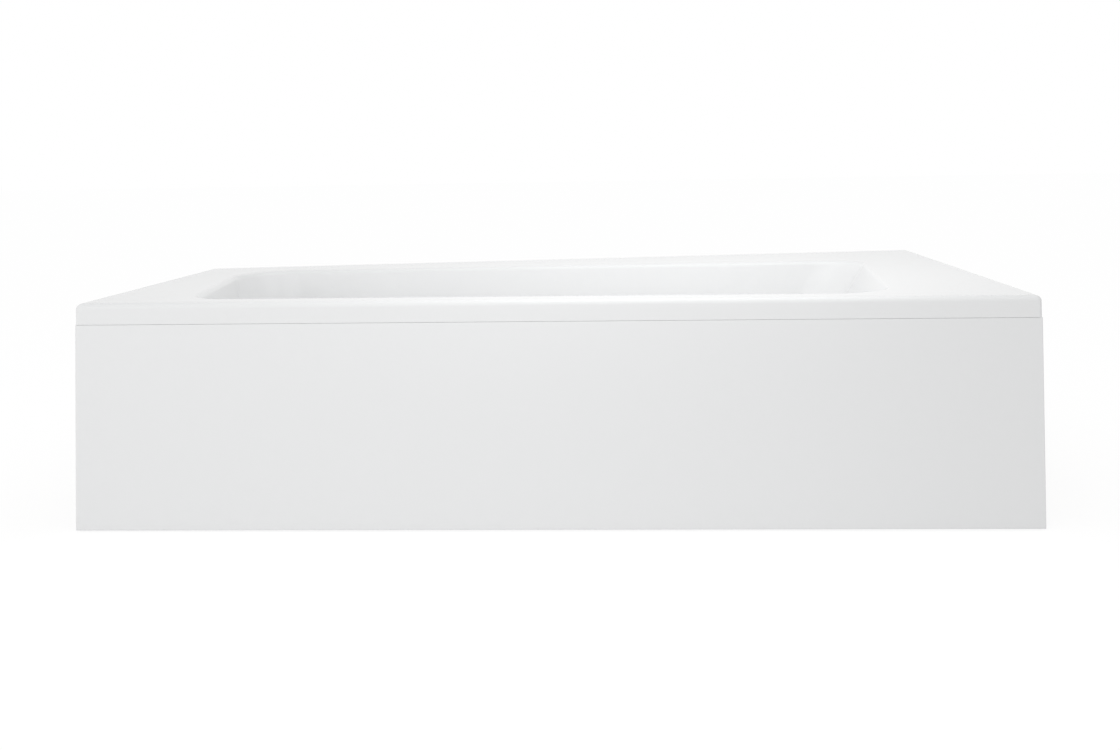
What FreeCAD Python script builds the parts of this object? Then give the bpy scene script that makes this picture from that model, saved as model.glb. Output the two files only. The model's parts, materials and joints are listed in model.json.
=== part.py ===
import FreeCAD, Part

import math
import os
import re

import Sketcher
from FreeCAD import Placement, Rotation, Vector

# A low bathtub with a skewed front edge: wide at the head end, narrow at the foot end,
# closed at the front by a flat panel that pulls off its catches.
# X runs along the back wall towards the head end, Y towards the back wall, Z up from the floor.
# "Along" in a plan line below is the distance from the foot end wall.

SIZES = [
    ("bath_length", 1800, "length along the back wall"),
    ("head_width", 950, "width at the head end"),
    ("front_skew", 10, "angle of the front edge to the back wall"),
    ("rim_height", 432, "top of the rim above the floor"),
    ("lip_height", 40, "height of the turned-down lip"),
    ("sheet_wall", 6, "thickness of the formed sheet"),
    ("edge_radius", 10, "round of the rim's outer top edge"),
    ("plan_radius", 6, "round of the rim's corners in plan"),
    ("roll_radius", 11, "round where the rim turns down into the basin"),
    ("back_deck", 94, "width of the back rim at the foot end"),
    ("back_turn", 5.4, "turn of the basin's back edge to the back wall"),
    ("front_deck", 60, "width of the front rim"),
    ("foot_deck", 101, "width of the foot end rim at the back wall"),
    ("foot_turn", 9, "turn of the basin's foot edge"),
    ("head_deck", 161, "width of the head end rim at the back wall"),
    ("head_turn", 6.4, "turn of the basin's head edge"),
    ("basin_floor", 107, "height of the basin's floor above the ground"),
    ("head_slope", 33, "lean of the backrest"),
    ("foot_slope", 10.8, "lean of the foot end wall"),
    ("side_slope", 7.5, "lean of the basin's long walls"),
    ("corner_radius", 95, "round of the basin's corners"),
    ("floor_radius", 70, "round between the basin's walls and floor"),
    ("seat_gap", 0.3, "gap left between held pieces"),
    ("backing_wall", 3, "thickness of the glass fibre backing"),
    ("board_thickness", 15, "thickness of the base board"),
    ("board_margin", 70, "distance of the base board from the basin floor's edge"),
    ("board_corner", 30, "round of the base board's corners"),
    ("notch_half", 58, "half width of the base board's notch round the waste"),
    ("batten_height", 34, "height of the rim battens"),
    ("batten_width", 34, "width of the rim battens"),
    ("batten_gap", 6, "gap between battens at the corners"),
    ("bar_inset", 500, "distance of each cradle bar from the bath's end"),
    ("bar_width", 40, "width of a cradle bar"),
    ("bar_height", 30, "height of a cradle bar"),
    ("bar_wall", 2, "thickness of a cradle bar's steel"),
    ("bar_fold", 4, "round of a cradle bar's folds"),
    ("bar_end", 24, "length of a cradle bar past its foot"),
    ("foot_reach", 32, "distance of a foot outside the basin floor's edge"),
    ("stud_radius", 6, "radius of a foot's threaded stud"),
    ("stud_above", 24, "length of a stud above its cradle bar"),
    ("stud_neck", 5, "radius of a stud's end in its pad"),
    ("stud_fit", 0.05, "running clearance round a stud"),
    ("stud_hole_gap", 0.4, "clearance of a stud in the holes it passes through"),
    ("stud_bevel", 1, "bevel of a stud's upper end"),
    ("collar_radius", 9.5, "radius across the corners of a stud's hexagon"),
    ("collar_height", 6, "height of a stud's hexagon"),
    ("pad_radius", 26, "radius of a foot pad"),
    ("pad_rim", 5, "height of a foot pad's rim"),
    ("pad_height", 20, "height of a foot pad"),
    ("pad_top", 11, "radius of a foot pad's top"),
    ("pad_sole", 7, "thickness of a foot pad under its stud"),
    ("nut_radius", 11, "radius across the corners of a nut"),
    ("nut_height", 8, "height of a nut"),
    ("screw_radius", 2.4, "radius of a coach screw's shank"),
    ("screw_head", 5, "radius across the corners of a coach screw's head"),
    ("screw_head_height", 2.5, "height of a coach screw's head"),
    ("screw_length", 14, "length of a coach screw's shank"),
    ("screw_fit", 0.1, "clearance round a coach screw"),
    ("screw_spacing", 220, "spacing of the screws along a cradle bar"),
    ("bracket_wall", 3, "thickness of the brackets"),
    ("bracket_width", 50, "width of a wall bracket"),
    ("bracket_leg", 62, "height of a wall bracket"),
    ("bracket_foot", 36, "depth of a wall bracket"),
    ("bracket_bend", 4, "bend radius of the brackets"),
    ("bracket_inset", 340, "distance of a back wall bracket from the bath's end"),
    ("bracket_hole", 3.25, "radius of a wall bracket's fixing holes"),
    ("bracket_pitch", 26, "spacing of a wall bracket's fixing holes"),
    ("bracket_edge", 12, "distance of a wall bracket's holes from its edges"),
    ("panel_wall", 4, "thickness of the front panel"),
    ("panel_return", 25, "depth of the front panel's edges"),
    ("panel_seam", 0.4, "gap between the lip and the front panel"),
    ("panel_floor_gap", 3, "gap between the front panel and the floor"),
    ("panel_edge", 1.5, "round of the front panel's edges"),
    ("stiffener_width", 60, "width of a panel stiffener"),
    ("stiffener_depth", 16, "depth of a panel stiffener"),
    ("stiffener_inset", 274, "distance of the outer stiffeners from the panel's ends"),
    ("stiffener_end", 12, "gap between a stiffener and the panel's edges"),
    ("peg_base", 14, "radius of a panel peg's base"),
    ("peg_base_height", 2, "thickness of a panel peg's base"),
    ("peg_radius", 3.5, "radius of a panel peg"),
    ("peg_ball", 5, "radius of a panel peg's ball"),
    ("peg_taper", 3, "length of the taper behind a peg's ball"),
    ("peg_nose", 2.5, "radius of the flat on a peg's ball"),
    ("peg_length", 22, "distance of a peg's ball from the panel"),
    ("catch_fit", 0.3, "clearance of a peg in its catch"),
    ("catch_size", 24, "width and height of a catch"),
    ("catch_depth", 18, "depth of a catch"),
    ("catch_slit", 2, "width of a catch's slit"),
    ("catch_slit_length", 19.2, "length of a catch's slit"),
    ("catch_slit_depth", 14, "depth of a catch's slit"),
    ("catch_round", 2, "round of a catch's corners"),
    ("catch_back_wall", 2, "thickness of a catch's back"),
    ("catch_drop", 30, "distance of an upper catch below its batten"),
    ("catch_back", 38, "distance of a catch's bracket from the panel's face"),
    ("arm_width", 30, "width of a panel bracket"),
    ("arm_end", 18, "length of a lower panel bracket past its stud"),
    ("arm_drop", 34, "height of a lower panel bracket's end plate"),
    ("waste_reach", 215, "distance of the waste from the basin's foot edge"),
    ("waste_shift", -45, "sideways place of the waste from the foot edge's middle"),
    ("waste_hole", 23, "radius of the waste hole"),
    ("waste_recess", 37, "radius of the recess round the waste"),
    ("recess_depth", 3, "depth of the recess round the waste"),
    ("flange_radius", 35, "radius of the waste flange"),
    ("flange_thickness", 2, "thickness of the waste flange"),
    ("flange_bevel", 0.6, "bevel of the waste flange's edge"),
    ("tube_radius", 22, "radius of the waste's threaded tube"),
    ("tube_wall", 2, "wall of the waste's threaded tube"),
    ("tube_length", 26, "length of the waste's threaded tube"),
    ("seal_thickness", 1, "thickness of the waste's upper seal"),
    ("under_seal", 3, "thickness of the seals behind the sheet"),
    ("seal_inset", 2, "distance of the upper seal's edge inside the waste flange"),
    ("cross_height", 4, "height of the waste's cross bars"),
    ("cross_width", 3, "width of the waste's cross bars"),
    ("guide_radius", 6, "radius of the plug's guide"),
    ("guide_height", 8, "height of the plug's guide"),
    ("stem_radius", 3, "radius of the plug's stem"),
    ("stem_fit", 0.06, "running clearance of the plug's stem"),
    ("plug_radius", 28, "radius of the plug"),
    ("plug_rise", 3.5, "height of the plug's edge"),
    ("plug_crown", 2, "rise of the plug's crown"),
    ("plug_bevel", 1, "height of the plug's edge bevel"),
    ("plug_bevel_width", 2, "width of the plug's edge bevel"),
    ("plug_shoulder", 14, "radius of the plug's crown shoulder"),
    ("plug_shoulder_rise", 1.5, "rise of the plug's crown shoulder"),
    ("plug_rest", 0.4, "gap under the closed plug"),
    ("plug_neck", 17, "radius of the plug's neck"),
    ("plug_neck_depth", 8, "depth of the plug's neck"),
    ("plug_seal_wire", 1.5, "section radius of the plug's seal"),
    ("plug_seal_half", 1.2, "half height of the plug's seal"),
    ("body_radius", 30, "radius of the waste body"),
    ("body_wall", 3, "wall of the plastic plumbing pieces"),
    ("sink_share", 0.8, "share of that wall that a side socket reaches into"),
    ("body_rim", 36, "radius of the waste body's rim"),
    ("body_rim_height", 4, "height of the waste body's rim"),
    ("body_base", 60, "underside of the waste body above the floor"),
    ("neck_radius", 21, "radius of the waste body's neck"),
    ("neck_end", 20, "lower end of the waste body's neck above the floor"),
    ("joint_gap", 0.3, "gap between plumbing pieces that slide together"),
    ("pipe_radius", 11, "radius of the overflow pipe"),
    ("pipe_wall", 1.5, "wall of the overflow pipe"),
    ("pipe_level", 76, "axis of the overflow pipe under the bath above the floor"),
    ("pipe_bend", 55, "bend radius of the overflow pipe"),
    ("socket_radius", 14.5, "radius of a pipe socket"),
    ("socket_length", 22, "length of a pipe socket"),
    ("pipe_insert", 14, "length of the overflow pipe inside its sockets"),
    ("union_radius", 19, "radius across the corners of a union nut"),
    ("union_length", 16, "length of a union nut"),
    ("lever_pivot", 19, "distance of the lift lever's pivot from the waste's axis"),
    ("lever_level", 70, "height of the lift lever's pivot above the floor"),
    ("lever_thickness", 3.4, "thickness of the lift lever"),
    ("lever_width", 6, "width of the lift lever"),
    ("lever_tip", 4, "length of the lift lever past the waste's axis"),
    ("lever_boss", 3.2, "radius of the lift lever's boss"),
    ("pin_radius", 1.5, "radius of the lift lever's pin"),
    ("trap_radius", 50, "radius of the trap"),
    ("trap_base", 4, "underside of the trap above the floor"),
    ("trap_height", 42, "height of the trap"),
    ("trap_bevel", 6, "bevel of the trap's lower edge"),
    ("collar_wall", 3.7, "wall of the trap's collar"),
    ("collar_rise", 8, "height of the trap's collar"),
    ("washer_height", 2, "thickness of the trap's washer"),
    ("trap_nut_wall", 6, "wall of the trap's nut"),
    ("outlet_radius", 20, "radius of the outlet pipe"),
    ("outlet_wall", 2, "wall of the outlet pipe's spigot"),
    ("outlet_socket", 30, "length of the trap's outlet socket"),
    ("outlet_length", 125, "length of the outlet pipe outside its socket"),
    ("outlet_spigot", 19.4, "radius of the outlet pipe's spigot"),
    ("outlet_insert", 24, "length of the outlet pipe's spigot inside its socket"),
    ("outlet_shoulder", 3, "distance of the outlet pipe's full width from its socket"),
    ("overflow_drop", 78, "distance of the overflow below the rim"),
    ("overflow_hole", 24, "radius of the overflow hole"),
    ("rosette_radius", 33, "radius of the overflow's rosette"),
    ("rosette_height", 5, "height of the overflow's rosette"),
    ("rosette_wall", 2, "wall of the overflow's rosette"),
    ("rosette_bevel", 2, "bevel of the rosette's edge"),
    ("sleeve_radius", 22, "radius of the rosette's sleeve"),
    ("sleeve_length", 18, "length of the rosette's sleeve"),
    ("inlet_radius", 2.6, "radius of the rosette's water holes"),
    ("inlet_circle", 13.5, "radius of the circle of water holes"),
    ("inlet_count", 8, "number of water holes"),
    ("spindle_radius", 4, "radius of the knob's spindle"),
    ("spindle_fit", 0.06, "running clearance of the knob's spindle"),
    ("spindle_length", 35, "length of the spindle behind the rosette's face"),
    ("knob_radius", 28, "radius of the overflow knob"),
    ("knob_height", 12, "height of the overflow knob"),
    ("knob_gap", 4, "gap between the rosette and the knob"),
    ("knob_round", 3, "round of the overflow knob's edge"),
    ("knob_dish", 16.8, "radius of the shallow dish in the knob's face"),
    ("knob_dish_depth", 0.6, "depth of that dish"),
    ("grip_count", 10, "number of grooves round the knob"),
    ("grip_radius", 3, "radius of the knob's grooves"),
    ("grip_outside", 1.5, "distance of the grooves' axes outside the knob"),
    ("elbow_radius", 29, "radius of the overflow elbow"),
    ("elbow_flange", 34, "radius of the overflow elbow's flange"),
    ("elbow_flange_height", 4, "height of the overflow elbow's flange"),
    ("elbow_depth", 40, "depth of the overflow elbow"),
    ("drum_radius", 12, "radius of the cable drum"),
    ("drum_height", 6, "height of the cable drum"),
    ("drum_groove", 1.5, "radius of the cable drum's groove"),
    ("cable_radius", 3.5, "radius of the cable's sheath"),
    ("cable_level", 68, "height of the waste body's cable nipple above the floor"),
    ("nipple_radius", 5.5, "radius of a cable nipple"),
    ("nipple_length", 10, "length of a cable nipple"),
]

doc = FreeCAD.newDocument("alcove_bathtub")
sheet = doc.addObject("Spreadsheet::Sheet", "Sizes")
for row, (alias, number, note) in enumerate(SIZES, 1):
    sheet.set(f"A{row}", note)
    sheet.set(f"B{row}", str(number))
    sheet.setAlias(f"B{row}", alias)
doc.recompute()

ALIAS = re.compile(r"\b(" + "|".join(alias for alias, number, note in SIZES) + r")\b")
NEAR = 0.001
UPRIGHT = 0.3
SLACK = 0.01
TRAP_NUT_SIDES = 10
UNION_SIDES = 8
sub_parts = {}


# Sizes and places

def sized(text):
    """The expression with every size name pointed at the sheet."""
    return ALIAS.sub(r"Sizes.\1", text)


def value(text):
    return float(sheet.evalExpression(sized(text)))


def bind(item, name, text):
    item.setExpression(name, sized(text))


FLOOR_TOP = "basin_floor"
BACKING_OUT = "(sheet_wall + seat_gap + backing_wall)"
BOARD_TOP = f"({FLOOR_TOP} - {BACKING_OUT})"
BAR_TOP = f"({BOARD_TOP} - board_thickness)"
BAR_UNDER = f"({BAR_TOP} - bar_height)"
BATTEN_UNDER = "(rim_height - sheet_wall - batten_height)"
PANEL_TOP = "(rim_height - lip_height - panel_seam)"
PANEL_HEIGHT = f"({PANEL_TOP} - panel_floor_gap)"


# Plan lines: a long side is (Y where Along is zero, slope), an end is (Along where Y is zero, slope)

def back_edge(inset="0"):
    return f"(head_width/2 - ({inset}))", "0"


def front_edge(inset="0"):
    start = f"(-head_width/2 + bath_length*tan(front_skew) + ({inset})/cos(front_skew))"
    return start, "(-tan(front_skew))"


def foot_edge(inset="0"):
    return f"({inset})", "0"


def head_edge(inset="0"):
    return f"(bath_length - ({inset}))", "0"


def moved_out(outset, slope, level):
    return f"(({outset}) - (rim_height - ({level}))*tan({slope}))"


def basin_back(outset="0", level="rim_height"):
    out = moved_out(outset, "side_slope", level)
    return f"(head_width/2 - back_deck + {out}/cos(back_turn))", "(-tan(back_turn))"


def basin_front(outset="0", level="rim_height"):
    out = moved_out(outset, "side_slope", level)
    start, slope = front_edge("front_deck")
    return f"({start} - {out}/cos(front_skew))", slope


def basin_foot(outset="0", level="rim_height"):
    out = moved_out(outset, "foot_slope", level)
    return f"(foot_deck + head_width/2*tan(foot_turn) - {out}/cos(foot_turn))", "(-tan(foot_turn))"


def basin_head(outset="0", level="rim_height"):
    out = moved_out(outset, "head_slope", level)
    start = f"(bath_length - head_deck - head_width/2*tan(head_turn) + {out}/cos(head_turn))"
    return start, "tan(head_turn)"


def crossing(end, side):
    """The point where an end line meets a long side, as X and Y."""
    along = f"(({end[0]} + {end[1]}*{side[0]})/(1 - {end[1]}*{side[1]}))"
    return f"({along} - bath_length/2)", f"({side[0]} + {side[1]}*{along})"


def side_at(side, x):
    """The Y of a long side at the given X."""
    return f"({side[0]} + {side[1]}*(({x}) + bath_length/2))"


def loop(front, head, back, foot):
    return [crossing(foot, front), crossing(head, front), crossing(head, back), crossing(foot, back)]


def basin_loop(outset="0", level="rim_height"):
    return loop(basin_front(outset, level), basin_head(outset, level),
                basin_back(outset, level), basin_foot(outset, level))


def rim_loop(inset="0"):
    return loop(front_edge(inset), head_edge(inset), back_edge(inset), foot_edge(inset))


def box_loop(x_low, x_high, y_low, y_high):
    return [(x_low, y_low), (x_high, y_low), (x_high, y_high), (x_low, y_high)]


# Sketches and features

def new_body(name):
    return doc.addObject("PartDesign::Body", name)


def new_sketch(body, name, level="0", role="XY_Plane"):
    sketch = body.newObject("Sketcher::SketchObject", name)
    plane = next(item for item in body.Origin.OriginFeatures if item.Role == role)
    sketch.AttachmentSupport = [(plane, "")]
    sketch.MapMode = "FlatFace"
    bind(sketch, "AttachmentOffset.Base.z", level)
    return sketch


def pin_point(sketch, geometry, point, place):
    """Holds one point of a sketch at a place given by two expressions."""
    for kind, text in zip(("DistanceX", "DistanceY"), place):
        row = sketch.addConstraint(Sketcher.Constraint(kind, -1, 1, geometry, point, value(text)))
        bind(sketch, f"Constraints[{row}]", text)


def add_loop(sketch, places):
    points = [Vector(value(x), value(y), 0) for x, y in places]
    first = sketch.GeometryCount
    count = len(points)
    for row, start in enumerate(points):
        sketch.addGeometry(Part.LineSegment(start, points[(row + 1) % count]), False)
    for row in range(count):
        joined = Sketcher.Constraint("Coincident", first + row, 2, first + (row + 1) % count, 1)
        sketch.addConstraint(joined)
    for row, place in enumerate(places):
        pin_point(sketch, first + row, 1, place)


def add_circle(sketch, place, radius):
    centre = Vector(value(place[0]), value(place[1]), 0)
    circle = Part.Circle(centre, Vector(0, 0, 1), value(radius))
    geometry = sketch.addGeometry(circle, False)
    pin_point(sketch, geometry, 3, place)
    row = sketch.addConstraint(Sketcher.Constraint("Radius", geometry, value(radius)))
    bind(sketch, f"Constraints[{row}]", radius)


def sketch_loops(body, name, loops, level="0", role="XY_Plane"):
    sketch = new_sketch(body, name, level, role)
    for places in loops:
        add_loop(sketch, places)
    return sketch


def sketch_circles(body, name, places, radius, level="0", role="XY_Plane"):
    sketch = new_sketch(body, name, level, role)
    for place in places:
        add_circle(sketch, place, radius)
    return sketch


def pad(body, name, profile, length, down=False, both_ways=False):
    feature = body.newObject("PartDesign::Pad", name)
    feature.Profile = profile
    feature.Reversed = down
    feature.Midplane = both_ways
    bind(feature, "Length", length)
    doc.recompute()
    return feature


def past(wall):
    """A cutting depth that goes clear through the wall."""
    return f"{wall}*2"


def checked_cut(before, feature):
    """Recomputes a cutting feature and makes sure that it took something away."""
    doc.recompute()
    if feature.Shape.isNull() or feature.Shape.Volume > before - NEAR:
        raise RuntimeError(f"{feature.Name} cuts nothing")
    return feature


def pocket(body, name, profile, length, up=False, both_ways=False):
    before = body.Shape.Volume
    feature = body.newObject("PartDesign::Pocket", name)
    feature.Profile = profile
    feature.Reversed = up
    feature.Midplane = both_ways
    bind(feature, "Length", length)
    return checked_cut(before, feature)


def revolve(body, name, places):
    """A turned solid about Z from (radius, height) places."""
    sketch = sketch_loops(body, name + "_profile", [places], role="XZ_Plane")
    feature = body.newObject("PartDesign::Revolution", name)
    feature.Profile = sketch
    feature.ReferenceAxis = (sketch, ["V_Axis"])
    feature.Angle = 360
    doc.recompute()
    return feature


def picked(items, kind, test):
    return [f"{kind}{row}" for row, item in enumerate(items, 1) if test(item)]


def fillet(body, name, base, test, radius):
    feature = body.newObject("PartDesign::Fillet", name)
    feature.Base = (base, picked(base.Shape.Edges, "Edge", test))
    bind(feature, "Radius", radius)
    doc.recompute()
    return feature


def draft(body, name, base, test, slope):
    """Leans the picked faces inwards below the block's top face."""
    top = max(face.CenterOfMass.z for face in base.Shape.Faces)
    hinge = picked(base.Shape.Faces, "Face", lambda face: face.CenterOfMass.z > top - NEAR)
    feature = body.newObject("PartDesign::Draft", name)
    feature.Base = (base, picked(base.Shape.Faces, "Face", test))
    feature.NeutralPlane = (base, hinge)
    feature.Reversed = True
    bind(feature, "Angle", slope)
    doc.recompute()
    return feature


def polar_pattern(body, name, feature, axis_sketch, count):
    pattern = body.newObject("PartDesign::PolarPattern", name)
    pattern.Originals = [feature]
    pattern.Axis = (axis_sketch, ["N_Axis"])
    pattern.Angle = 360
    bind(pattern, "Occurrences", count)
    body.Tip = pattern
    doc.recompute()
    return pattern


def edge_heights(edge):
    heights = [vertex.Point.z for vertex in edge.Vertexes]
    return min(heights), max(heights)


def level_edge(edge, height):
    low, high = edge_heights(edge)
    return abs(low - height) < NEAR and abs(high - height) < NEAR and edge.BoundBox.ZLength < NEAR


def upright_edge(edge):
    box = edge.BoundBox
    return box.ZLength > NEAR and box.XLength < NEAR and box.YLength < NEAR


def cut(name, base, tool):
    feature = doc.addObject("Part::Cut", name)
    feature.Base = base
    feature.Tool = tool
    return checked_cut(base.Shape.Volume, feature)


def fuse(name, items):
    feature = doc.addObject("Part::MultiFuse", name)
    feature.Shapes = items
    doc.recompute()
    return feature


def cylinder(name, radius, height, placement):
    feature = doc.addObject("Part::Cylinder", name)
    bind(feature, "Radius", radius)
    bind(feature, "Height", height)
    feature.Placement = placement
    doc.recompute()
    return feature


def keep(name, item):
    """Makes the item the sub-part of that name."""
    item.Label = name
    sub_parts[name] = item
    return item


def group(name, pattern, places):
    """One sub-part of identical separate solids."""
    copies = []
    for place in places:
        solid = pattern.Shape.copy()
        solid.Placement = place.multiply(solid.Placement)
        copies.append(solid)
    feature = doc.addObject("Part::Feature", name)
    feature.Shape = Part.makeCompound(copies)
    return keep(name, feature)


def at(x, y, z, turn=0):
    return Placement(Vector(x, y, z), Rotation(Vector(0, 0, 1), turn))


# Places that the pieces share

def middle(first, second):
    return [(value(a) + value(b))/2 for a, b in zip(first, second)]


def waste_place():
    """The waste's axis: local X points along the basin, local Z is up from the floor."""
    corners = basin_loop()
    x, y = middle(corners[0], corners[3])
    turn = value("foot_turn")
    foot = at(x, y, 0, turn)
    return foot.multiply(at(value("waste_reach"), value("waste_shift"), 0))


def overflow_place():
    """The overflow's axis on the foot wall: local Z points into the basin, local X down the wall."""
    drop = value("overflow_drop")
    slope = value("foot_slope")
    inward = drop*math.tan(math.radians(slope)) - value("waste_reach")
    on_wall = Placement(Vector(inward, 0, value("rim_height") - drop), Rotation(Vector(0, 1, 0), 90 - slope))
    return waste_place().multiply(on_wall)


def front_place():
    """The front edge's foot end corner: local X along the front, local Y inwards."""
    x, y = crossing(foot_edge(), front_edge())
    return at(value(x), value(y), 0, -value("front_skew"))


WASTE = waste_place()
OVERFLOW = overflow_place()
FRONT = front_place()
WALL_STACK = f"({BACKING_OUT}*cos(foot_slope))"
BAR_ENDS = {"foot": "(bar_inset - bath_length/2)", "head": "(bath_length/2 - bar_inset)"}


def foot_y(end, side):
    """Y of a levelling foot, outside the basin floor at its cradle bar."""
    x = BAR_ENDS[end]
    if side == "back":
        return f"({side_at(basin_back('0', FLOOR_TOP), x)} + foot_reach)"
    return f"({side_at(basin_front('0', FLOOR_TOP), x)} - foot_reach)"


FEET = [(end, side) for end in ("foot", "head") for side in ("front", "back")]


def foot_place(end, side):
    return at(value(BAR_ENDS[end]), value(foot_y(end, side)), 0)


# The bath

def basin_block(body, name, outset):
    """A block with the basin's four leaning walls, moved out and down by outset."""
    outline = sketch_loops(body, name + "_outline", [basin_loop(outset)], "rim_height")
    block = pad(body, name + "_block", outline, f"rim_height - basin_floor + {outset}", down=True)
    block = draft(body, name + "_foot_draft", block,
                  lambda face: face.normalAt(0, 0).x < -UPRIGHT and abs(face.normalAt(0, 0).y) < UPRIGHT,
                  "foot_slope")
    block = draft(body, name + "_head_draft", block,
                  lambda face: face.normalAt(0, 0).x > UPRIGHT and abs(face.normalAt(0, 0).y) < UPRIGHT,
                  "head_slope")
    return draft(body, name + "_side_draft", block,
                 lambda face: abs(face.normalAt(0, 0).y) > 1 - UPRIGHT, "side_slope")


def round_basin(body, name, block, outset):
    """Rounds the block's corners and its floor edge."""
    floor = value(f"basin_floor - {outset}")
    under_rim = value("rim_height - lip_height")
    corners = fillet(body, name + "_corners", block,
                     lambda edge: (abs(edge_heights(edge)[0] - floor) < NEAR
                                   and edge_heights(edge)[1] > under_rim),
                     f"corner_radius + {outset}")
    return fillet(body, name + "_floor_edge", corners,
                  lambda edge: level_edge(edge, floor), f"floor_radius + {outset}")


def basin_body(name, outset):
    body = new_body(name)
    round_basin(body, name, basin_block(body, name, outset), outset)
    return body


def shell_form():
    """The formed sheet's outside: basin, rim and turned-down lip."""
    body = new_body("shell_form")
    basin_block(body, "shell", "sheet_wall")
    outline = sketch_loops(body, "rim_outline", [rim_loop()], "rim_height")
    pad(body, "rim", outline, "sheet_wall", down=True)
    ring = sketch_loops(body, "lip_outline", [rim_loop(), rim_loop("sheet_wall")], "rim_height - lip_height")
    lip = pad(body, "lip", ring, "lip_height")
    rounded = round_basin(body, "shell", lip, "sheet_wall")
    rim = value("rim_height")
    half = value("bath_length/2")
    corners = fillet(body, "lip_corners", rounded,
                     lambda edge: upright_edge(edge) and abs(abs(edge.CenterOfMass.x) - half) < NEAR,
                     "plan_radius")
    fillet(body, "rim_edge", corners, lambda edge: level_edge(edge, rim), "edge_radius")
    return body


def plumbing_holes():
    """The waste hole with its recess, and the overflow hole."""
    depth = past(BACKING_OUT)
    through = value(depth)
    hole = cylinder("waste_opening", "waste_hole", past(depth),
                    WASTE.multiply(at(0, 0, value(FLOOR_TOP) - through)))
    recess = cylinder("waste_recess_cut", "waste_recess", depth,
                      WASTE.multiply(at(0, 0, value(f"{FLOOR_TOP} - recess_depth"))))
    overflow = cylinder("overflow_opening", "overflow_hole", past(depth),
                        OVERFLOW.multiply(at(0, 0, -through)))
    return fuse("shell_holes", [hole, recess, overflow]), fuse("backing_holes", [hole, overflow])


def bath_shell(holes):
    hollow = basin_body("basin_hollow", "0")
    opened = cut("shell_hollowed", shell_form(), hollow)
    rim = value("rim_height")
    marks = [edge.CenterOfMass for edge in hollow.Shape.Edges if level_edge(edge, rim)]
    radius = value("roll_radius")
    rolled = doc.addObject("Part::Fillet", "rim_roll")
    rolled.Base = opened
    rolled.Edges = [(row, radius, radius) for row, edge in enumerate(opened.Shape.Edges, 1)
                    if any(edge.CenterOfMass.distanceToPoint(mark) < NEAR for mark in marks)]
    doc.recompute()
    keep("bath_shell", cut("shell_drilled", rolled, holes))


def glassfibre_backing(holes):
    """The laminated layer under the basin, up to the underside of the rim."""
    body = basin_body("backing_form", BACKING_OUT)
    top = sketch_loops(body, "backing_trim", [basin_loop(f"{BACKING_OUT}*2")], "rim_height")
    pocket(body, "backing_top", top, "sheet_wall + seat_gap")
    inside = basin_body("backing_inside", "(sheet_wall + seat_gap)")
    hollowed = cut("backing_hollowed", body, inside)
    keep("glassfibre_backing", cut("backing_drilled", hollowed, holes))


def screw_places():
    """Places of the screws that hold the cradle bars to the base board."""
    places = []
    for end, x in BAR_ENDS.items():
        centre = (value(foot_y(end, "front")) + value(foot_y(end, "back")))/2
        for side in (-1, 1):
            along = centre + side*value("screw_spacing")/2
            places.append(at(value(x), along, value(f"{BAR_TOP} - bar_wall")))
    return places


def base_board():
    body = new_body("board_form")
    outline = sketch_loops(body, "board_outline", [basin_loop("-board_margin", FLOOR_TOP)], BAR_TOP)
    board = pad(body, "board", outline, "board_thickness")
    fillet(body, "board_corners", board, upright_edge, "board_corner")
    notch = doc.addObject("Part::Box", "board_notch")
    bind(notch, "Length", "waste_reach")
    bind(notch, "Width", "notch_half*2")
    bind(notch, "Height", past("board_thickness"))
    corner = Vector(-value("waste_reach"), -value("notch_half"), value(f"{BAR_TOP} - board_thickness/2"))
    notch.Placement = WASTE.multiply(Placement(corner, Rotation()))
    hole = cylinder("board_hole", "notch_half", past("board_thickness"),
                    WASTE.multiply(at(0, 0, value(f"{BAR_TOP} - board_thickness/2"))))
    radius = "screw_radius + screw_fit"
    depth = "bar_wall + screw_length + screw_fit"
    pilots = [cylinder(f"board_pilot_{row}", radius, depth, place)
              for row, place in enumerate(screw_places())]
    keep("base_board", cut("board_cut", body, fuse("board_openings", [notch, hole] + pilots)))


def rim_batten(name, front, head, back, foot):
    body = new_body(name + "_form")
    outline = sketch_loops(body, name + "_outline", [loop(front, head, back, foot)], BATTEN_UNDER)
    pad(body, name + "_bar", outline, "batten_height")
    return keep(name, body)


def rim_battens():
    """Four battens under the rim, inside the lip."""
    near = "(sheet_wall + seat_gap)"
    far = "(sheet_wall + seat_gap + batten_width)"
    past = "(sheet_wall + seat_gap + batten_width + batten_gap)"
    rim_batten("rim_batten_front", front_edge(near), head_edge(near), front_edge(far), foot_edge(near))
    rim_batten("rim_batten_back", back_edge(far), head_edge(near), back_edge(near), foot_edge(near))
    rim_batten("rim_batten_foot", front_edge(past), foot_edge(far), back_edge(past), foot_edge(near))
    rim_batten("rim_batten_head", front_edge(past), head_edge(near), back_edge(past), head_edge(far))


# The cradle and its levelling feet

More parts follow.
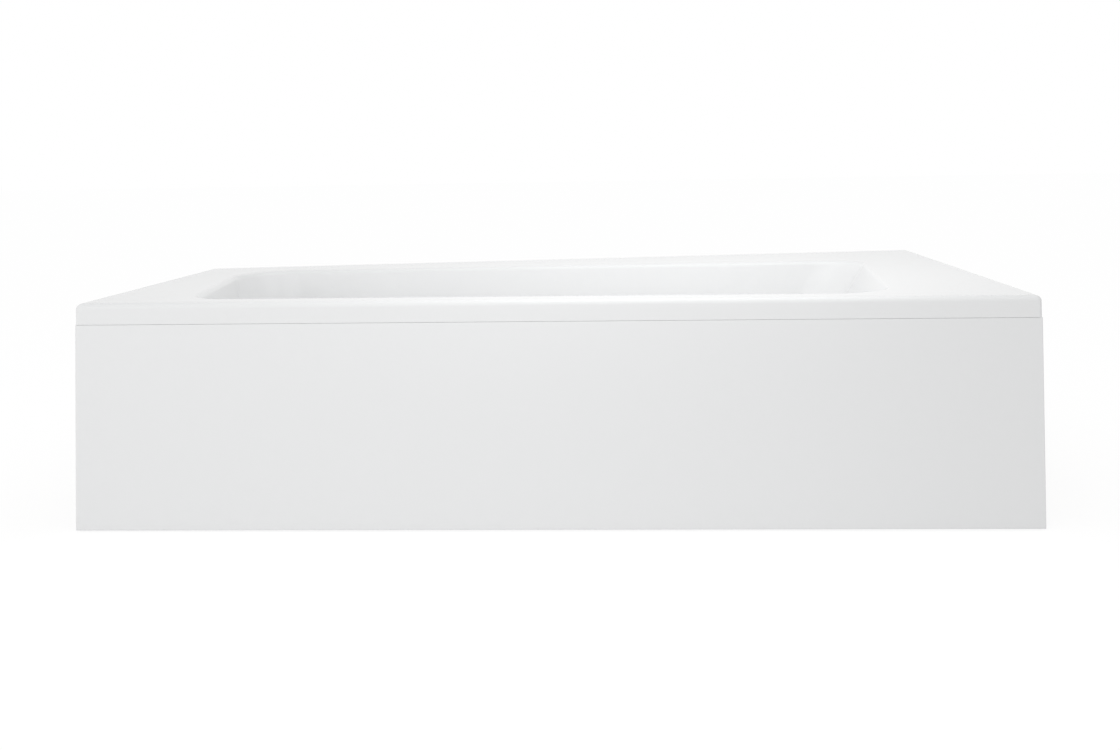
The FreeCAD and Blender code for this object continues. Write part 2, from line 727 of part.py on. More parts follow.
def cradle_bar(end):
    """A channel of folded steel, open below, across the base board."""
    body = new_body(f"cradle_bar_{end}_form")
    x = BAR_ENDS[end]
    low = f"({foot_y(end, 'front')} - bar_end)"
    high = f"({foot_y(end, 'back')} + bar_end)"
    half = "bar_width/2"
    outline = sketch_loops(body, f"bar_{end}_outline",
                           [box_loop(f"({x} - {half})", f"({x} + {half})", low, high)], BAR_UNDER)
    bar = pad(body, f"bar_{end}", outline, "bar_height")
    top = value(BAR_TOP)
    bar = fillet(body, f"bar_{end}_folds", bar,
                 lambda edge: level_edge(edge, top) and edge.BoundBox.XLength < NEAR, "bar_fold")
    inner = "(bar_width/2 - bar_wall)"
    channel = sketch_loops(body, f"bar_{end}_channel",
                           [box_loop(f"({x} - {inner})", f"({x} + {inner})", f"({low} - bar_wall)",
                                     f"({high} + bar_wall)")], BAR_UNDER)
    pocket(body, f"bar_{end}_inside", channel, "bar_height - bar_wall", up=True)
    feet = [(x, foot_y(end, side)) for side in ("front", "back")]
    studs = sketch_circles(body, f"bar_{end}_stud_holes", feet, "stud_radius + stud_hole_gap", BAR_TOP)
    pocket(body, f"bar_{end}_studs", studs, past("bar_wall"))
    centre = f"({foot_y(end, 'front')} + {foot_y(end, 'back')})/2"
    screws = [(x, f"({centre} - screw_spacing/2)"), (x, f"({centre} + screw_spacing/2)")]
    drilled = sketch_circles(body, f"bar_{end}_screw_holes", screws, "screw_radius + screw_fit", BAR_TOP)
    pocket(body, f"bar_{end}_screws", drilled, past("bar_wall"))
    return keep(f"cradle_bar_{end}", body)


def polygon(radius, sides):
    """The corners of a regular polygon about the origin."""
    turns = [360*row/sides for row in range(sides)]
    return [(f"({radius})*cos({turn})", f"({radius})*sin({turn})") for turn in turns]


def hexagon(radius):
    return polygon(radius, 6)


def coach_screw(name):
    """A hexagon-headed screw: local Z zero is under its head, which points down."""
    body = new_body(name)
    head = sketch_loops(body, name + "_hexagon", [hexagon("screw_head")])
    pad(body, name + "_head", head, "screw_head_height", down=True)
    shank = sketch_circles(body, name + "_circle", [("0", "0")], "screw_radius")
    pad(body, name + "_shank", shank, "screw_length")
    return body


def hex_nut(name):
    """A nut standing on local Z zero."""
    body = new_body(name)
    outline = sketch_loops(body, name + "_outline", [hexagon("nut_radius")])
    pad(body, name + "_block", outline, "nut_height")
    bore = sketch_circles(body, name + "_bore", [("0", "0")], "stud_radius + stud_fit", "nut_height")
    pocket(body, name + "_drilled", bore, "nut_height")
    return body


def foot_nuts():
    nut = hex_nut("foot_nut")
    under = value(f"{BAR_TOP} - bar_wall - nut_height")
    group("foot_weld_nuts", nut, [foot_place(*foot).multiply(at(0, 0, under)) for foot in FEET])
    lower = under - value("nut_height")
    group("foot_lock_nuts", nut, [foot_place(*foot).multiply(at(0, 0, lower)) for foot in FEET])
    upper = value(f"{BAR_TOP} + bracket_wall")
    group("panel_arm_nuts", nut, [foot_place(end, "front").multiply(at(0, 0, upper)) for end in BAR_ENDS])


def foot_pad(end, side):
    """A round pad with a socket for its stud's end."""
    body = new_body(f"pad_{end}_{side}")
    revolve(body, f"pad_{end}_{side}_turned",
            [("0", "0"), ("pad_radius", "0"), ("pad_radius", "pad_rim"), ("pad_top", "pad_height"),
             ("stud_neck + stud_fit", "pad_height"), ("stud_neck + stud_fit", "pad_sole"), ("0", "pad_sole")])
    body.Placement = foot_place(end, side)
    keep(f"foot_pad_{end}_{side}", body)


def foot_stud(end, side):
    """A threaded stud with a hexagon to turn it by and a plain end in its pad."""
    body = new_body(f"stud_{end}_{side}")
    revolve(body, f"stud_{end}_{side}_turned",
            [("0", "pad_sole + seat_gap"), ("stud_neck", "pad_sole + seat_gap"),
             ("stud_neck", "pad_height + seat_gap + collar_height"),
             ("stud_radius", "pad_height + seat_gap + collar_height"),
             ("stud_radius", f"{BAR_TOP} + stud_above - stud_bevel"),
             ("stud_radius - stud_bevel", f"{BAR_TOP} + stud_above"),
             ("0", f"{BAR_TOP} + stud_above")])
    outline = sketch_loops(body, f"stud_{end}_{side}_hexagon", [hexagon("collar_radius")],
                           "pad_height + seat_gap")
    pad(body, f"stud_{end}_{side}_collar", outline, "collar_height")
    body.Placement = foot_place(end, side)
    keep(f"foot_stud_{end}_{side}", body)


def cradle():
    for end in BAR_ENDS:
        cradle_bar(end)
    group("cradle_screws", coach_screw("cradle_screw"), screw_places())
    foot_nuts()
    for end, side in FEET:
        foot_pad(end, side)
        foot_stud(end, side)


# Brackets

def folded_bracket(body, name, width, foot, leg):
    """An L of steel: its foot lies along local Y under Z zero, its leg hangs down at Y zero."""
    profile = [("0", "0"), (foot, "0"), (foot, "-bracket_wall"), ("bracket_wall", "-bracket_wall"),
               ("bracket_wall", f"-({leg})"), ("0", f"-({leg})")]
    sketch = sketch_loops(body, name + "_profile", [profile], role="YZ_Plane")
    plate = pad(body, name + "_plate", sketch, width, both_ways=True)
    inner = value("bracket_wall")

    def fold(edge):
        centre = edge.CenterOfMass
        return edge.BoundBox.XLength > NEAR and max(abs(centre.y - inner), abs(centre.z + inner)) < NEAR

    def outer_fold(edge):
        centre = edge.CenterOfMass
        return edge.BoundBox.XLength > NEAR and max(abs(centre.y), abs(centre.z)) < NEAR

    bent = fillet(body, name + "_inner_bend", plate, fold, "bracket_bend - bracket_wall")
    return fillet(body, name + "_outer_bend", bent, outer_fold, "bracket_bend")


def wall_bracket_places():
    """Each wall bracket's place on its wall: local Y points away from the wall."""
    level = value(BATTEN_UNDER)
    half = value("bath_length/2")
    wall = value("head_width/2")
    spread = value("bath_length/2 - bracket_inset")
    foot_middle = (wall + value(crossing(foot_edge(), front_edge())[1]))/2
    head_middle = (wall + value(crossing(head_edge(), front_edge())[1]))/2
    return {
        "back_foot": at(-spread, wall, level, 180),
        "back_head": at(spread, wall, level, 180),
        "foot_end": at(-half, foot_middle, level, -90),
        "head_end": at(half, head_middle, level, 90),
    }


def wall_brackets():
    """Angle brackets that tie the rim's battens to the walls."""
    places = wall_bracket_places()
    screws = []
    for name, place in places.items():
        body = new_body(f"wall_bracket_{name}_form")
        folded_bracket(body, f"bracket_{name}", "bracket_width", "bracket_foot", "bracket_leg")
        upper = "-(bracket_leg - bracket_pitch - bracket_edge)"
        lower = "-(bracket_leg - bracket_edge)"
        holes = sketch_circles(body, f"bracket_{name}_holes", [("0", upper), ("0", lower)],
                               "bracket_hole", role="XZ_Plane")
        pocket(body, f"bracket_{name}_drilled", holes, past(past("bracket_wall")), both_ways=True)
        offsets = [("0", "bracket_foot - bracket_edge")]
        drilled = sketch_circles(body, f"bracket_{name}_screw_holes", offsets, "screw_radius + screw_fit")
        pocket(body, f"bracket_{name}_screwed", drilled, past("bracket_wall"))
        body.Placement = place
        keep(f"wall_bracket_{name}", body)
        drop = -value("bracket_wall")
        screws += [place.multiply(at(value(x), value(y), drop)) for x, y in offsets]
    return screws


UPPER_CATCH = f"({BATTEN_UNDER} - catch_drop)"
LOWER_CATCH = f"({BAR_TOP} + bracket_wall - arm_drop/2)"


def front_offset(end):
    """Distance of a front foot from the front face, square to it."""
    return f"(({foot_y(end, 'front')} - {side_at(front_edge(), BAR_ENDS[end])})*cos(front_skew))"


def front_along(end):
    """Distance of a front foot along the front face from the foot end corner."""
    across = f"({foot_y(end, 'front')} - {crossing(foot_edge(), front_edge())[1]})*sin(front_skew)"
    return f"(({BAR_ENDS[end]} + bath_length/2)*cos(front_skew) - {across})"


def panel_arm(end):
    """A lower panel bracket, clamped on a front stud, with an end plate behind the panel."""
    body = new_body(f"panel_arm_{end}_form")
    reach = f"({front_offset(end)} - catch_back + arm_end)"
    folded_bracket(body, f"arm_{end}", "arm_width", reach, "arm_drop")
    hole = sketch_circles(body, f"arm_{end}_hole", [("0", f"{front_offset(end)} - catch_back")],
                          "stud_radius + stud_hole_gap")
    pocket(body, f"arm_{end}_drilled", hole, past("bracket_wall"))
    level = value(f"{BAR_TOP} + bracket_wall")
    body.Placement = FRONT.multiply(at(value(front_along(end)), value("catch_back"), level))
    keep(f"panel_arm_{end}", body)


def panel_hanger(end):
    """An upper panel bracket under the front batten. Returns its screws' places."""
    body = new_body(f"panel_hanger_{end}_form")
    foot = "(sheet_wall + seat_gap + batten_width - panel_return - seat_gap)"
    profile = [("bracket_wall", "0"), (f"bracket_wall - {foot}", "0"),
               (f"bracket_wall - {foot}", "-bracket_wall"), ("0", "-bracket_wall"),
               ("0", "-(catch_drop + catch_size/2)"), ("bracket_wall", "-(catch_drop + catch_size/2)")]
    sketch = sketch_loops(body, f"hanger_{end}_profile", [profile], role="YZ_Plane")
    pad(body, f"hanger_{end}_plate", sketch, "arm_width", both_ways=True)
    row = f"bracket_wall - {foot}/2 - bracket_wall/2"
    offsets = [("0", row)]
    drilled = sketch_circles(body, f"hanger_{end}_holes", offsets, "screw_radius + screw_fit")
    pocket(body, f"hanger_{end}_drilled", drilled, past("bracket_wall"))
    place = FRONT.multiply(at(value(front_along(end)), value("catch_back"), value(BATTEN_UNDER)))
    body.Placement = place
    keep(f"panel_hanger_{end}", body)
    return [place.multiply(at(value(x), value(y), -value("bracket_wall"))) for x, y in offsets]


def catch_places():
    """Each catch's place: local Z points outwards from the bracket behind it."""
    outwards = Rotation(Vector(1, 0, 0), 90)
    places = []
    for end in BAR_ENDS:
        for level in (UPPER_CATCH, LOWER_CATCH):
            centre = Vector(value(front_along(end)), value("catch_back"), value(level))
            places.append(FRONT.multiply(Placement(centre, outwards)))
    return places


def panel_catches():
    """Square spring catches, slit across, that hold the panel's pegs."""
    body = new_body("panel_catch")
    half = "catch_size/2"
    outline = sketch_loops(body, "catch_outline", [box_loop(f"-{half}", half, f"-{half}", half)])
    block = pad(body, "catch_block", outline, "catch_depth")
    fillet(body, "catch_corners", block, upright_edge, "catch_round")
    bore = sketch_circles(body, "catch_bore", [("0", "0")], "peg_ball + catch_fit", "catch_depth")
    pocket(body, "catch_bored", bore, "catch_depth - catch_back_wall")
    opening = box_loop("-catch_slit_length/2", "catch_slit_length/2", "-catch_slit/2", "catch_slit/2")
    slit = sketch_loops(body, "catch_slit_outline", [opening], "catch_depth")
    pocket(body, "catch_slitted", slit, "catch_slit_depth")
    group("panel_catches", body, catch_places())


def brackets():
    screws = wall_brackets()
    for end in BAR_ENDS:
        panel_arm(end)
        screws += panel_hanger(end)
    screw = coach_screw("bracket_screw")
    group("bracket_screws", screw, screws)
    pilots = doc.addObject("Part::Feature", "batten_pilots")
    radius = value("screw_radius + screw_fit")
    length = value("screw_length + screw_fit + bracket_wall")
    pilots.Shape = Part.makeCompound([Part.makeCylinder(radius, length, place.Base) for place in screws])
    for name in ("front", "back", "foot", "head"):
        solid = sub_parts.pop(f"rim_batten_{name}")
        solid.Label = f"rim_batten_{name}_blank"
        keep(f"rim_batten_{name}", cut(f"rim_batten_{name}_drilled", solid, pilots))
    panel_catches()


# The front panel

def front_panel():
    """A flat tray of sheet: its face is flush with the lip, its edges turn inwards."""
    body = new_body("panel_form")
    outline = sketch_loops(body, "panel_outline",
                           [loop(front_edge(), head_edge(), front_edge("panel_return"), foot_edge())],
                           "panel_floor_gap")
    block = pad(body, "panel_block", outline, PANEL_HEIGHT)
    front = value(front_edge()[0])
    slope = value(front_edge()[1])
    half = value("bath_length/2")

    def on_face(edge):
        return all(abs(v.Point.y - front - slope*(v.Point.x + half)) < NEAR for v in edge.Vertexes)

    fillet(body, "panel_edges", block, on_face, "panel_edge")
    hollow = sketch_loops(body, "panel_hollow",
                          [loop(front_edge("panel_wall"), head_edge("panel_wall"),
                                front_edge("panel_return + panel_wall"), foot_edge("panel_wall"))],
                          "panel_floor_gap + panel_wall")
    pocket(body, "panel_inside", hollow, f"{PANEL_HEIGHT} - panel_wall*2", up=True)
    keep("front_panel", body)


def panel_stiffeners():
    """Upright boards glued behind the panel's face."""
    length = "(bath_length/cos(front_skew))"
    places = {"foot": "stiffener_inset", "middle": f"{length}/2", "head": f"({length} - stiffener_inset)"}
    for name, centre in places.items():
        body = new_body(f"stiffener_{name}")
        low = f"({centre} - stiffener_width/2)"
        outline = sketch_loops(body, f"stiffener_{name}_outline",
                               [box_loop(low, f"({low} + stiffener_width)", "panel_wall",
                                         "(panel_wall + stiffener_depth)")],
                               "panel_floor_gap + panel_wall + stiffener_end")
        pad(body, f"stiffener_{name}_board", outline, f"{PANEL_HEIGHT} - panel_wall*2 - stiffener_end*2")
        body.Placement = FRONT
        keep(f"panel_stiffener_{name}", body)


def panel_pegs():
    """Pegs with round heads on the panel's back, one for each catch."""
    body = new_body("panel_peg")
    revolve(body, "peg_turned", [("0", "0"), ("peg_base", "0"), ("peg_base", "peg_base_height"),
                                 ("peg_radius", "peg_base_height"), ("peg_radius", "peg_length - peg_taper"),
                                 ("peg_ball", "peg_length"), ("peg_nose", "peg_length + peg_ball"),
                                 ("0", "peg_length + peg_ball")])
    inwards = Rotation(Vector(1, 0, 0), -90)
    places = []
    for end in BAR_ENDS:
        for level in (UPPER_CATCH, LOWER_CATCH):
            foot = Vector(value(front_along(end)), value("panel_wall"), value(level))
            places.append(FRONT.multiply(Placement(foot, inwards)))
    group("panel_pegs", body, places)


# The waste and its trap

SINK = "(body_wall*sink_share)"
UNDER_SEAL = f"({BOARD_TOP} - under_seal)"
FLANGE_TOP = FLOOR_TOP
TUBE_INNER = "(tube_radius - tube_wall)"


def ring(name, inner, outer, low, high, place):
    """A plain ring about the place's axis."""
    body = new_body(name + "_form")
    revolve(body, name + "_turned", [(inner, low), (outer, low), (outer, high), (inner, high)])
    body.Placement = place
    return keep(name, body)


def waste_flange():
    """The strainer's flange and tube, with a cross that guides the plug's stem."""
    body = new_body("flange_form")
    low = f"({FLANGE_TOP} - tube_length)"
    under = f"{FLANGE_TOP} - flange_thickness"
    revolve(body, "flange_turned",
            [(TUBE_INNER, low), ("tube_radius", low), ("tube_radius", under), ("flange_radius", under),
             ("flange_radius", f"{FLANGE_TOP} - flange_bevel"),
             ("flange_radius - flange_bevel", FLANGE_TOP), (TUBE_INNER, FLANGE_TOP)])
    half = "cross_width/2"
    arm = f"({TUBE_INNER} + tube_wall/2)"
    for name, places in (("long", box_loop(f"-{arm}", arm, f"-{half}", half)),
                         ("short", box_loop(f"-{half}", half, f"-{arm}", arm))):
        bar = sketch_loops(body, f"cross_{name}_outline", [places], low)
        pad(body, f"cross_{name}", bar, "cross_height")
    boss = sketch_circles(body, "guide_outline", [("0", "0")], "guide_radius", low)
    pad(body, "guide", boss, "guide_height")
    bore = sketch_circles(body, "guide_bore", [("0", "0")], "stem_radius + stem_fit", f"{low} + guide_height")
    pocket(body, "guide_drilled", bore, "guide_height")
    body.Placement = WASTE
    keep("waste_flange", body)


def waste_plug():
    """The domed plug with its neck and stem."""
    body = new_body("plug_form")
    under = f"({FLANGE_TOP} + plug_rest)"
    seal_level = f"({under} - plug_neck_depth/2)"
    groove = f"({TUBE_INNER} - plug_seal_wire*2 - joint_gap)"
    stem_end = "(lever_level + lever_thickness/2 + seat_gap)"
    revolve(body, "plug_turned",
            [("0", stem_end), ("stem_radius", stem_end), ("stem_radius", f"{under} - plug_neck_depth"),
             ("plug_neck", f"{under} - plug_neck_depth"), ("plug_neck", f"{seal_level} - plug_seal_wire"),
             (groove, f"{seal_level} - plug_seal_wire"), (groove, f"{seal_level} + plug_seal_wire"),
             ("plug_neck", f"{seal_level} + plug_seal_wire"), ("plug_neck", under), ("plug_radius", under),
             ("plug_radius", f"{under} + plug_rise - plug_bevel"),
             ("plug_radius - plug_bevel_width", f"{under} + plug_rise"),
             ("plug_shoulder", f"{under} + plug_rise + plug_shoulder_rise"),
             ("0", f"{under} + plug_rise + plug_crown")])
    body.Placement = WASTE
    keep("waste_plug", body)
    outside = f"({TUBE_INNER} - joint_gap)"
    inside = f"({groove} + joint_gap/2)"
    seal = new_body("plug_seal_form")
    low = f"{seal_level} - plug_seal_half"
    high = f"{seal_level} + plug_seal_half"
    waist = f"{outside} - plug_seal_wire"
    revolve(seal, "plug_seal_turned",
            [(inside, low), (waist, low), (outside, seal_level), (waist, high), (inside, high)])
    seal.Placement = WASTE
    keep("plug_seal", seal)


def waste_body():
    """The plastic body under the basin: rim, chamber, neck, pipe socket and cable nipple."""
    body = new_body("waste_body_form")
    rim_low = f"({UNDER_SEAL} - body_rim_height)"
    bore = "(tube_radius + joint_gap)"
    inside = "(body_radius - body_wall)"
    revolve(body, "waste_body_turned",
            [(bore, UNDER_SEAL), ("body_rim", UNDER_SEAL), ("body_rim", rim_low), ("body_radius", rim_low),
             ("body_radius", "body_base"), ("neck_radius", "body_base"), ("neck_radius", "neck_end"),
             ("neck_radius - body_wall", "neck_end"), ("neck_radius - body_wall", "body_base + body_wall"),
             (inside, "body_base + body_wall"), (inside, rim_low), (bore, rim_low)])
    socket = sketch_circles(body, "waste_socket_outline", [("0", "pipe_level")], "socket_radius",
                            "-(body_radius + socket_length)", "YZ_Plane")
    pad(body, "waste_socket", socket, f"socket_length + {SINK}")
    bored = sketch_circles(body, "waste_socket_bore", [("0", "pipe_level")], "pipe_radius + joint_gap",
                           "-(body_radius + socket_length)", "YZ_Plane")
    pocket(body, "waste_socket_bored", bored, f"socket_length + {past('body_wall')}", up=True)
    nipple = sketch_circles(body, "waste_nipple_outline", [("0", "cable_level")], "nipple_radius",
                            "-(body_radius + nipple_length)", "XZ_Plane")
    pad(body, "waste_nipple", nipple, f"nipple_length + {SINK}")
    body.Placement = WASTE
    keep("waste_body", body)


def lift_lever():
    """The lever in the waste body that lifts the plug's stem, and its pin."""
    reach = "(lever_pivot + lever_tip)"
    body = new_body("lever_form")
    half = "lever_thickness/2"
    outline = sketch_loops(body, "lever_outline",
                           [box_loop(f"-({half})", half, f"-({reach})", "0")], "-lever_width/2")
    pad(body, "lever_blade", outline, "lever_width")
    boss = sketch_circles(body, "lever_boss_outline", [("0", "0")], "lever_boss", "-lever_width/2")
    pad(body, "lever_hub", boss, "lever_width")
    bore = sketch_circles(body, "lever_bore", [("0", "0")], "pin_radius + stud_fit", "lever_width/2")
    pocket(body, "lever_bored", bore, "lever_width")
    across = Rotation(Vector(0, 1, 0), 90)
    pivot = Placement(Vector(0, value("lever_pivot"), value("lever_level")), across)
    body.Placement = WASTE.multiply(pivot)
    keep("lift_lever", body)
    half_pin = "(sqrt((body_radius - body_wall)^2 - lever_pivot^2) - joint_gap - pin_radius)"
    pin = cylinder("lever_pin_form", "pin_radius", f"{half_pin}*2",
                   WASTE.multiply(pivot).multiply(at(0, 0, -value(half_pin))))
    keep("lever_pin", pin)


def trap():
    """The low trap: a cup on the waste body's neck with a socket for the outlet pipe."""
    body = new_body("trap_form")
    base = "trap_base"
    top = "(trap_base + trap_height)"
    bore = "(neck_radius + joint_gap)"
    collar = "(neck_radius + joint_gap + collar_wall)"
    inside = "(trap_radius - body_wall)"
    revolve(body, "trap_turned",
            [("0", base), ("trap_radius - trap_bevel", base), ("trap_radius", f"{base} + trap_bevel"),
             ("trap_radius", top), (collar, top),
             (collar, f"{top} + collar_rise"), (bore, f"{top} + collar_rise"),
             (bore, f"{top} - body_wall"), (inside, f"{top} - body_wall"), (inside, f"{base} + trap_bevel"),
             ("trap_radius - trap_bevel", f"{base} + body_wall"), ("0", f"{base} + body_wall")])
    outlet_level = "(trap_base + trap_height/2)"
    mouth = "-(trap_radius + outlet_socket)"
    socket = sketch_circles(body, "outlet_socket_outline", [("0", outlet_level)],
                            "outlet_spigot + joint_gap + body_wall", mouth, "XZ_Plane")
    pad(body, "outlet_socket", socket, f"outlet_socket + {SINK}")
    bored = sketch_circles(body, "outlet_socket_bore", [("0", outlet_level)], "outlet_spigot + joint_gap",
                           mouth, "XZ_Plane")
    pocket(body, "outlet_socket_bored", bored, "outlet_socket - body_wall", up=True)
    way = sketch_circles(body, "outlet_way", [("0", outlet_level)], "outlet_spigot - outlet_wall",
                         mouth, "XZ_Plane")
    pocket(body, "outlet_way_bored", way, f"outlet_socket + {past('body_wall')}", up=True)
    body.Placement = WASTE
    keep("trap_body", body)
    ring("trap_washer", bore, collar, f"{top} + collar_rise", f"{top} + collar_rise + washer_height", WASTE)
    nut_body = new_body("trap_nut_form")
    outside = f"({collar} + trap_nut_wall)"
    low = f"({top} + seat_gap)"
    flange = f"({top} + collar_rise + washer_height + seat_gap)"
    outline = sketch_loops(nut_body, "trap_nut_outline", [polygon(outside, TRAP_NUT_SIDES)], low)
    pad(nut_body, "trap_nut_block", outline, f"{flange} - {low} + {SINK}")
    through = sketch_circles(nut_body, "trap_nut_bore", [("0", "0")], bore, f"{flange} + body_wall")
    pocket(nut_body, "trap_nut_bored", through, "trap_height")
    thread = sketch_circles(nut_body, "trap_nut_thread", [("0", "0")], f"{collar} + joint_gap", flange)
    pocket(nut_body, "trap_nut_threaded", thread, "trap_height")
    nut_body.Placement = WASTE
    keep("trap_nut", nut_body)
    pipe = new_body("outlet_pipe_form")
    inner = "(outlet_spigot - outlet_wall)"
    revolve(pipe, "outlet_pipe_turned",
            [(inner, "-outlet_insert"), ("outlet_spigot", "-outlet_insert"),
             ("outlet_spigot", "outlet_shoulder"), ("outlet_radius", "outlet_shoulder"),
             ("outlet_radius", "outlet_length"), (inner, "outlet_length")])
    start = Vector(0, value("trap_radius + outlet_socket"), value(outlet_level))
    pipe.Placement = WASTE.multiply(Placement(start, Rotation(Vector(1, 0, 0), -90)))
    keep("outlet_pipe", pipe)


def waste():
    waste_flange()
    low = f"({FLOOR_TOP} - recess_depth)"
    ring("waste_seal_upper", "(waste_hole + joint_gap)", "(flange_radius - seal_inset)",
         low, f"{low} + seal_thickness", WASTE)
    ring("waste_seal_lower", "(waste_hole + joint_gap)", "body_rim", UNDER_SEAL, BOARD_TOP, WASTE)
    waste_body()
    waste_plug()
    lift_lever()
    trap()


# The overflow, its knob, pipe and cable

ELBOW_FRONT = f"(-{WALL_STACK} - under_seal)"
ELBOW_BACK = f"({ELBOW_FRONT} - elbow_depth)"
ELBOW_AXIS = f"({ELBOW_FRONT} - elbow_flange_height - (elbow_depth - elbow_flange_height)/2)"


def overflow_rosette():
    """The rosette with its sleeve through the wall, its ring of water holes and the spindle's bush."""
    body = new_body("rosette_form")
    revolve(body, "rosette_turned",
            [("spindle_radius + spindle_fit", "0"), ("sleeve_radius - rosette_wall", "0"),
             ("sleeve_radius - rosette_wall", "-sleeve_length"), ("sleeve_radius", "-sleeve_length"),
             ("sleeve_radius", "0"), ("rosette_radius", "0"), ("rosette_radius", "rosette_wall"),
             ("rosette_radius - rosette_bevel", "rosette_height"),
             ("spindle_radius + spindle_fit", "rosette_height")])
    hole = sketch_circles(body, "inlet_outline", [("inlet_circle", "0")], "inlet_radius", "rosette_height")
    drilled = pocket(body, "inlet", hole, "rosette_height")
    polar_pattern(body, "inlets", drilled, hole, "inlet_count")
    body.Placement = OVERFLOW
    keep("overflow_rosette", body)


def overflow_knob():
    """The round knob with finger grooves, on its spindle."""
    body = new_body("knob_form")
    low = "(rosette_height + knob_gap)"
    high = f"({low} + knob_height)"
    revolve(body, "knob_turned",
            [("0", "-spindle_length"), ("spindle_radius", "-spindle_length"), ("spindle_radius", low),
             ("knob_radius", low), ("knob_radius", f"{high} - knob_round"),
             ("knob_radius - knob_round", high),
             ("knob_dish", f"{high} - knob_dish_depth"), ("0", f"{high} - knob_dish_depth")])
    outline = sketch_circles(body, "grip_outline", [("knob_radius + grip_outside", "0")], "grip_radius", high)
    groove = pocket(body, "grip", outline, "knob_height + knob_gap/2")
    polar_pattern(body, "grips", groove, outline, "grip_count")
    body.Placement = OVERFLOW
    keep("overflow_knob", body)


def cable_drum():
    """The grooved drum on the spindle that winds the cable."""
    body = new_body("drum_form")
    low = f"({ELBOW_AXIS} - drum_height/2)"
    high = f"({ELBOW_AXIS} + drum_height/2)"
    revolve(body, "drum_turned",
            [("0", low), ("drum_radius", low), ("drum_radius", f"{ELBOW_AXIS} - drum_groove"),
             ("drum_radius - drum_groove", ELBOW_AXIS), ("drum_radius", f"{ELBOW_AXIS} + drum_groove"),
             ("drum_radius", high), ("0", high)])
    socket = sketch_circles(body, "drum_socket", [("0", "0")], "spindle_radius + spindle_fit", high)
    pocket(body, "drum_bored", socket, f"{high} + spindle_length + seat_gap")
    body.Placement = OVERFLOW
    keep("cable_drum", body)


def overflow_elbow():
    """The housing behind the wall: flange, chamber, pipe socket and cable nipple."""
    body = new_body("elbow_form")
    bore = "(sleeve_radius + joint_gap)"
    inside = "(elbow_radius - body_wall)"
    neck = f"({ELBOW_FRONT} - elbow_flange_height)"
    revolve(body, "elbow_turned",
            [(bore, ELBOW_FRONT), ("elbow_flange", ELBOW_FRONT), ("elbow_flange", neck),
             ("elbow_radius", neck),
             ("elbow_radius", ELBOW_BACK), ("0", ELBOW_BACK), ("0", f"{ELBOW_BACK} + body_wall"),
             (inside, f"{ELBOW_BACK} + body_wall"), (inside, neck), (bore, neck)])
    socket = sketch_circles(body, "elbow_socket_outline", [("0", ELBOW_AXIS)], "socket_radius",
                            f"elbow_radius - {SINK}", "YZ_Plane")
    pad(body, "elbow_socket", socket, f"socket_length + {SINK}")
    bored = sketch_circles(body, "elbow_socket_bore", [("0", ELBOW_AXIS)], "pipe_radius + joint_gap",
                           "elbow_radius + socket_length", "YZ_Plane")
    pocket(body, "elbow_socket_bored", bored, f"socket_length + {past('body_wall')}")
    nipple = sketch_circles(body, "elbow_nipple_outline", [("drum_radius", ELBOW_AXIS)], "nipple_radius",
                            "-(elbow_radius + nipple_length)", "XZ_Plane")
    pad(body, "elbow_nipple", nipple, "nipple_length + body_wall")
    body.Placement = OVERFLOW
    keep("overflow_elbow", body)


# The cable's route, chosen by hand, from the overflow elbow's nipple to the waste body's
CABLE_ROUTE = [
    Vector(-758.0, 111.0, 335.8),
    Vector(-763.1, 143.3, 335.8),
    Vector(-768.0, 177.0, 308),
    Vector(-764.9, 189.6, 240),
    Vector(-753.1, 191.5, 165),
    Vector(-722.8, 192.2, 104),
    Vector(-669.2, 198.7, 74),
    Vector(-609.9, 208.1, 66),
    Vector(-562.9, 205.4, 68),
    Vector(-534.5, 179.5, 68),
    Vector(-529.6, 148.2, 68),
]
ARC_SHARE = 0.45


def in_waste_frame(x, y, z):
    """A point of the overflow's own frame, seen from the waste's frame."""
    return WASTE.inverse().multVec(OVERFLOW.multVec(Vector(x, y, z)))


def drop_to(start, level):
    """Where a line down the foot wall from start reaches the level, in the waste's frame."""
    slope = math.tan(math.radians(value("foot_slope")))
    return Vector(start.x + (start.z - level)*slope, start.y, level)


def turn_at(before, corner, after):
    return (corner - before).getAngle(after - corner)


def rounded_path(points, radii):
    """Straight runs joined by tangent arcs of the given radii."""
    edges = []
    start = points[0]
    for before, corner, after, radius in zip(points, points[1:], points[2:], radii):
        towards = (corner - before).normalize()
        onwards = (after - corner).normalize()
        turn = turn_at(before, corner, after)
        trim = radius*math.tan(turn/2)
        enter = corner - towards*trim
        leave = corner + onwards*trim
        middle_way = (onwards - towards).normalize()
        centre = corner + middle_way*(radius/math.cos(turn/2))
        edges.append(Part.LineSegment(start, enter).toShape())
        edges.append(Part.Arc(enter, centre - middle_way*radius, leave).toShape())
        start = leave
    edges.append(Part.LineSegment(start, points[-1]).toShape())
    return Part.Wire(edges)


def swept(path, points, radius):
    circle = Part.Wire(Part.makeCircle(radius, points[0], points[1] - points[0]))
    return path.makePipe(Part.Face(circle))


def keep_tube(name, tube, area, length, placement):
    """Keeps a swept tube, once its volume is that of its section times its length."""
    if abs(tube.Volume - area*length) > SLACK*tube.Volume:
        raise RuntimeError(f"{name} has not the volume of its section times its length")
    feature = doc.addObject("Part::Feature", name + "_form")
    feature.Shape = tube
    feature.Placement = placement
    return keep(name, feature)


